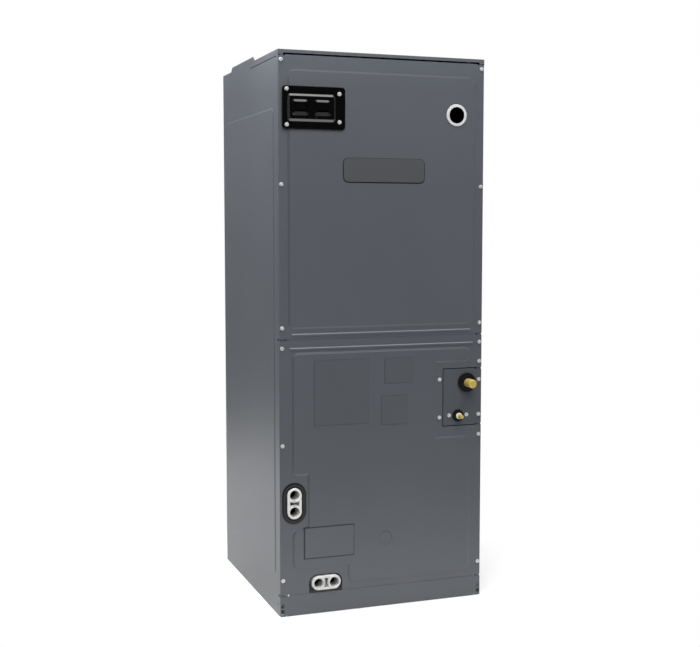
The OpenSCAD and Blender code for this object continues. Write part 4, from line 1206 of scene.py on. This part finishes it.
# Floor, by distance from its middle: where it fades to white, and what its sheen falls to, from and to
FLOOR_FADE = (0.3, 0.62)
FRONT_SHEEN = (0.28, 0.6, 1.7)
SIDE_SHEEN = (0.12, 1.5, 3.4)


def studio_world(studio):
    """A plain studio: bright overhead, dimmer at eye level, and white to the camera."""
    world = bpy.data.worlds.new("studio")
    world.use_nodes = True
    sky = Graph(world.node_tree)
    sky.tree.nodes.clear()
    x, y, z = sky.node("SeparateXYZ", sky.node("TexCoord")["Generated"])
    rise = sky.spread(sky.calc("MULTIPLY_ADD", y, studio.tilt, z), 0.0, 1.0, 0.3, 1.0)
    overhead = sky.calc("POWER", rise, studio.gather)
    left = sky.spread(x, 0.0, studio.back, 0.15, -0.15)
    level = sky.calc("MULTIPLY_ADD", sky.calc("MAXIMUM", y, 0.0), left, studio.horizon)
    strength = sky.calc("MULTIPLY_ADD", overhead, studio.sky, level)
    soft = sky.node("Background", color=WHITE, strength=strength)[0]
    white = sky.node("Background", color=WHITE)[0]
    seen, _ = sky.rays()
    sky.node("OutputWorld", sky.node("MixShader", seen, soft, white)[0])
    return world


def floor_finish(studio):
    """A pale matt floor that fades to white away from the object, and in the object's sheen glows as
    painted light, brighter in front and behind on the left.
    """
    finish = Finish("studio_floor", {"Roughness": 0.8})
    seen, glossy = finish.rays()
    finish.feed(base_color=finish.blend(seen, studio.bounce, studio.floor))
    reach = finish.node("VectorMath", finish.place, operation="LENGTH")["Value"]
    x, y = finish.axis("X"), finish.axis("Y")
    front = finish.spread(reach, studio.floor_front, *FRONT_SHEEN)
    before = finish.calc("MULTIPLY", front, finish.spread(y, 1.0, 0.75, -0.35, -0.1))
    side = finish.spread(reach, studio.floor_side, *SIDE_SHEEN)
    slant = finish.calc("MULTIPLY_ADD", finish.calc("ABSOLUTE", x), -0.7, y)
    behind = finish.spread(slant, 0.0, 1.0, -0.35, 0.0)
    left = finish.calc("MULTIPLY", behind, finish.spread(x, 1.0, 0.0, -0.25, 0.1))
    sheen = finish.calc("MAXIMUM", before, finish.calc("MULTIPLY", side, left))
    strength = finish.calc("MAXIMUM", finish.calc("MULTIPLY", sheen, glossy), seen)
    white = finish.node("Emission", strength=strength)[0]
    faded = finish.calc("MULTIPLY", seen, finish.spread(reach, 0.0, 1.0, *FLOOR_FADE))
    pale = finish.calc("MAXIMUM", faded, glossy)
    mix = finish.node("MixShader", pale, finish.shader.outputs[0], white)[0]
    finish.put(finish.tree.nodes["Material Output"].inputs["Surface"], mix)
    return finish.material


def soft_light(name, place, aim, size, power, mirrored):
    """A square softbox that looks at a point; only a mirrored one shows in the sheen of the object."""
    deselect_all()
    bpy.ops.object.light_add(type="AREA", location=place)
    lamp = bpy.context.active_object
    lamp.name = name
    lamp.data.shape = "SQUARE"
    lamp.data.size = size
    lamp.data.energy = power
    lamp.visible_camera = False
    lamp.visible_glossy = mirrored
    lamp.rotation_euler = (Vector(aim) - Vector(place)).to_track_quat("-Z", "Y").to_euler()


class AIRHANDLER_OT_studio(bpy.types.Operator):
    """Sets the camera, the floor and the light"""

    bl_idname = "air_handler.studio"
    bl_label = "Studio"

    def execute(self, context):
        studio = context.scene.air_handler_studio
        deselect_all()
        bpy.ops.object.camera_add(
            location=studio.eye, rotation=(math.pi / 2 + studio.pitch, 0.0, -studio.yaw))
        camera = bpy.context.active_object
        camera.data.sensor_width = 36.0
        camera.data.lens = studio.lens
        context.scene.camera = camera

        floor = begin(
            bpy.ops.mesh.primitive_circle_add, vertices=studio.segments, radius=studio.floor_size,
            fill_type="NGON", location=(0, 0, -0.5 * MM))
        floor.name = "floor"
        floor.data.materials.append(floor_finish(studio))

        for softbox in SOFTBOXES:
            soft_light(*softbox)
        context.scene.world = studio_world(studio)
        context.scene.view_settings.view_transform = "Standard"
        return {"FINISHED"}


class AIRHANDLER_PT_pieces(bpy.types.Panel):
    """Lists the steps that dress the air handler"""

    bl_idname = "AIRHANDLER_PT_pieces"
    bl_label = "Air Handler"
    bl_space_type = "VIEW_3D"
    bl_region_type = "UI"
    bl_category = "Air Handler"

    def draw(self, context):
        for step in STEPS:
            self.layout.operator(step.bl_idname)
        for group in SETTINGS:
            box = self.layout.box()
            settings = getattr(context.scene, group)
            for name in settings.bl_rna.properties.keys():
                if name not in ("rna_type", "name"):
                    box.prop(settings, name)


SETTINGS = {
    "air_handler_sheet": SheetLook,
    "air_handler_screws": ScrewSizes,
    "air_handler_fittings": FittingLook,
    "air_handler_studio": StudioSettings,
}
STEPS = (
    AIRHANDLER_OT_studio, AIRHANDLER_OT_sheet, AIRHANDLER_OT_inside, AIRHANDLER_OT_upper_fittings,
    AIRHANDLER_OT_line_set, AIRHANDLER_OT_drain, AIRHANDLER_OT_labels, AIRHANDLER_OT_screws,
)


def register():
    """Registers the settings, the steps and the panel."""
    for group in (*SETTINGS.values(), *STEPS, AIRHANDLER_PT_pieces):
        bpy.utils.register_class(group)
    for name, group in SETTINGS.items():
        setattr(bpy.types.Scene, name, PointerProperty(type=group))


def unregister():
    """Removes what register added."""
    for name in SETTINGS:
        delattr(bpy.types.Scene, name)
    for group in (AIRHANDLER_PT_pieces, *reversed(STEPS), *reversed(SETTINGS.values())):
        bpy.utils.unregister_class(group)


def main():
    """Registers the settings and steps, then dresses the air handler."""
    register()
    for step in STEPS:
        category, name = step.bl_idname.split(".")
        getattr(getattr(bpy.ops, category), name)()
    deselect_all()


if __name__ == "__main__":
    main()
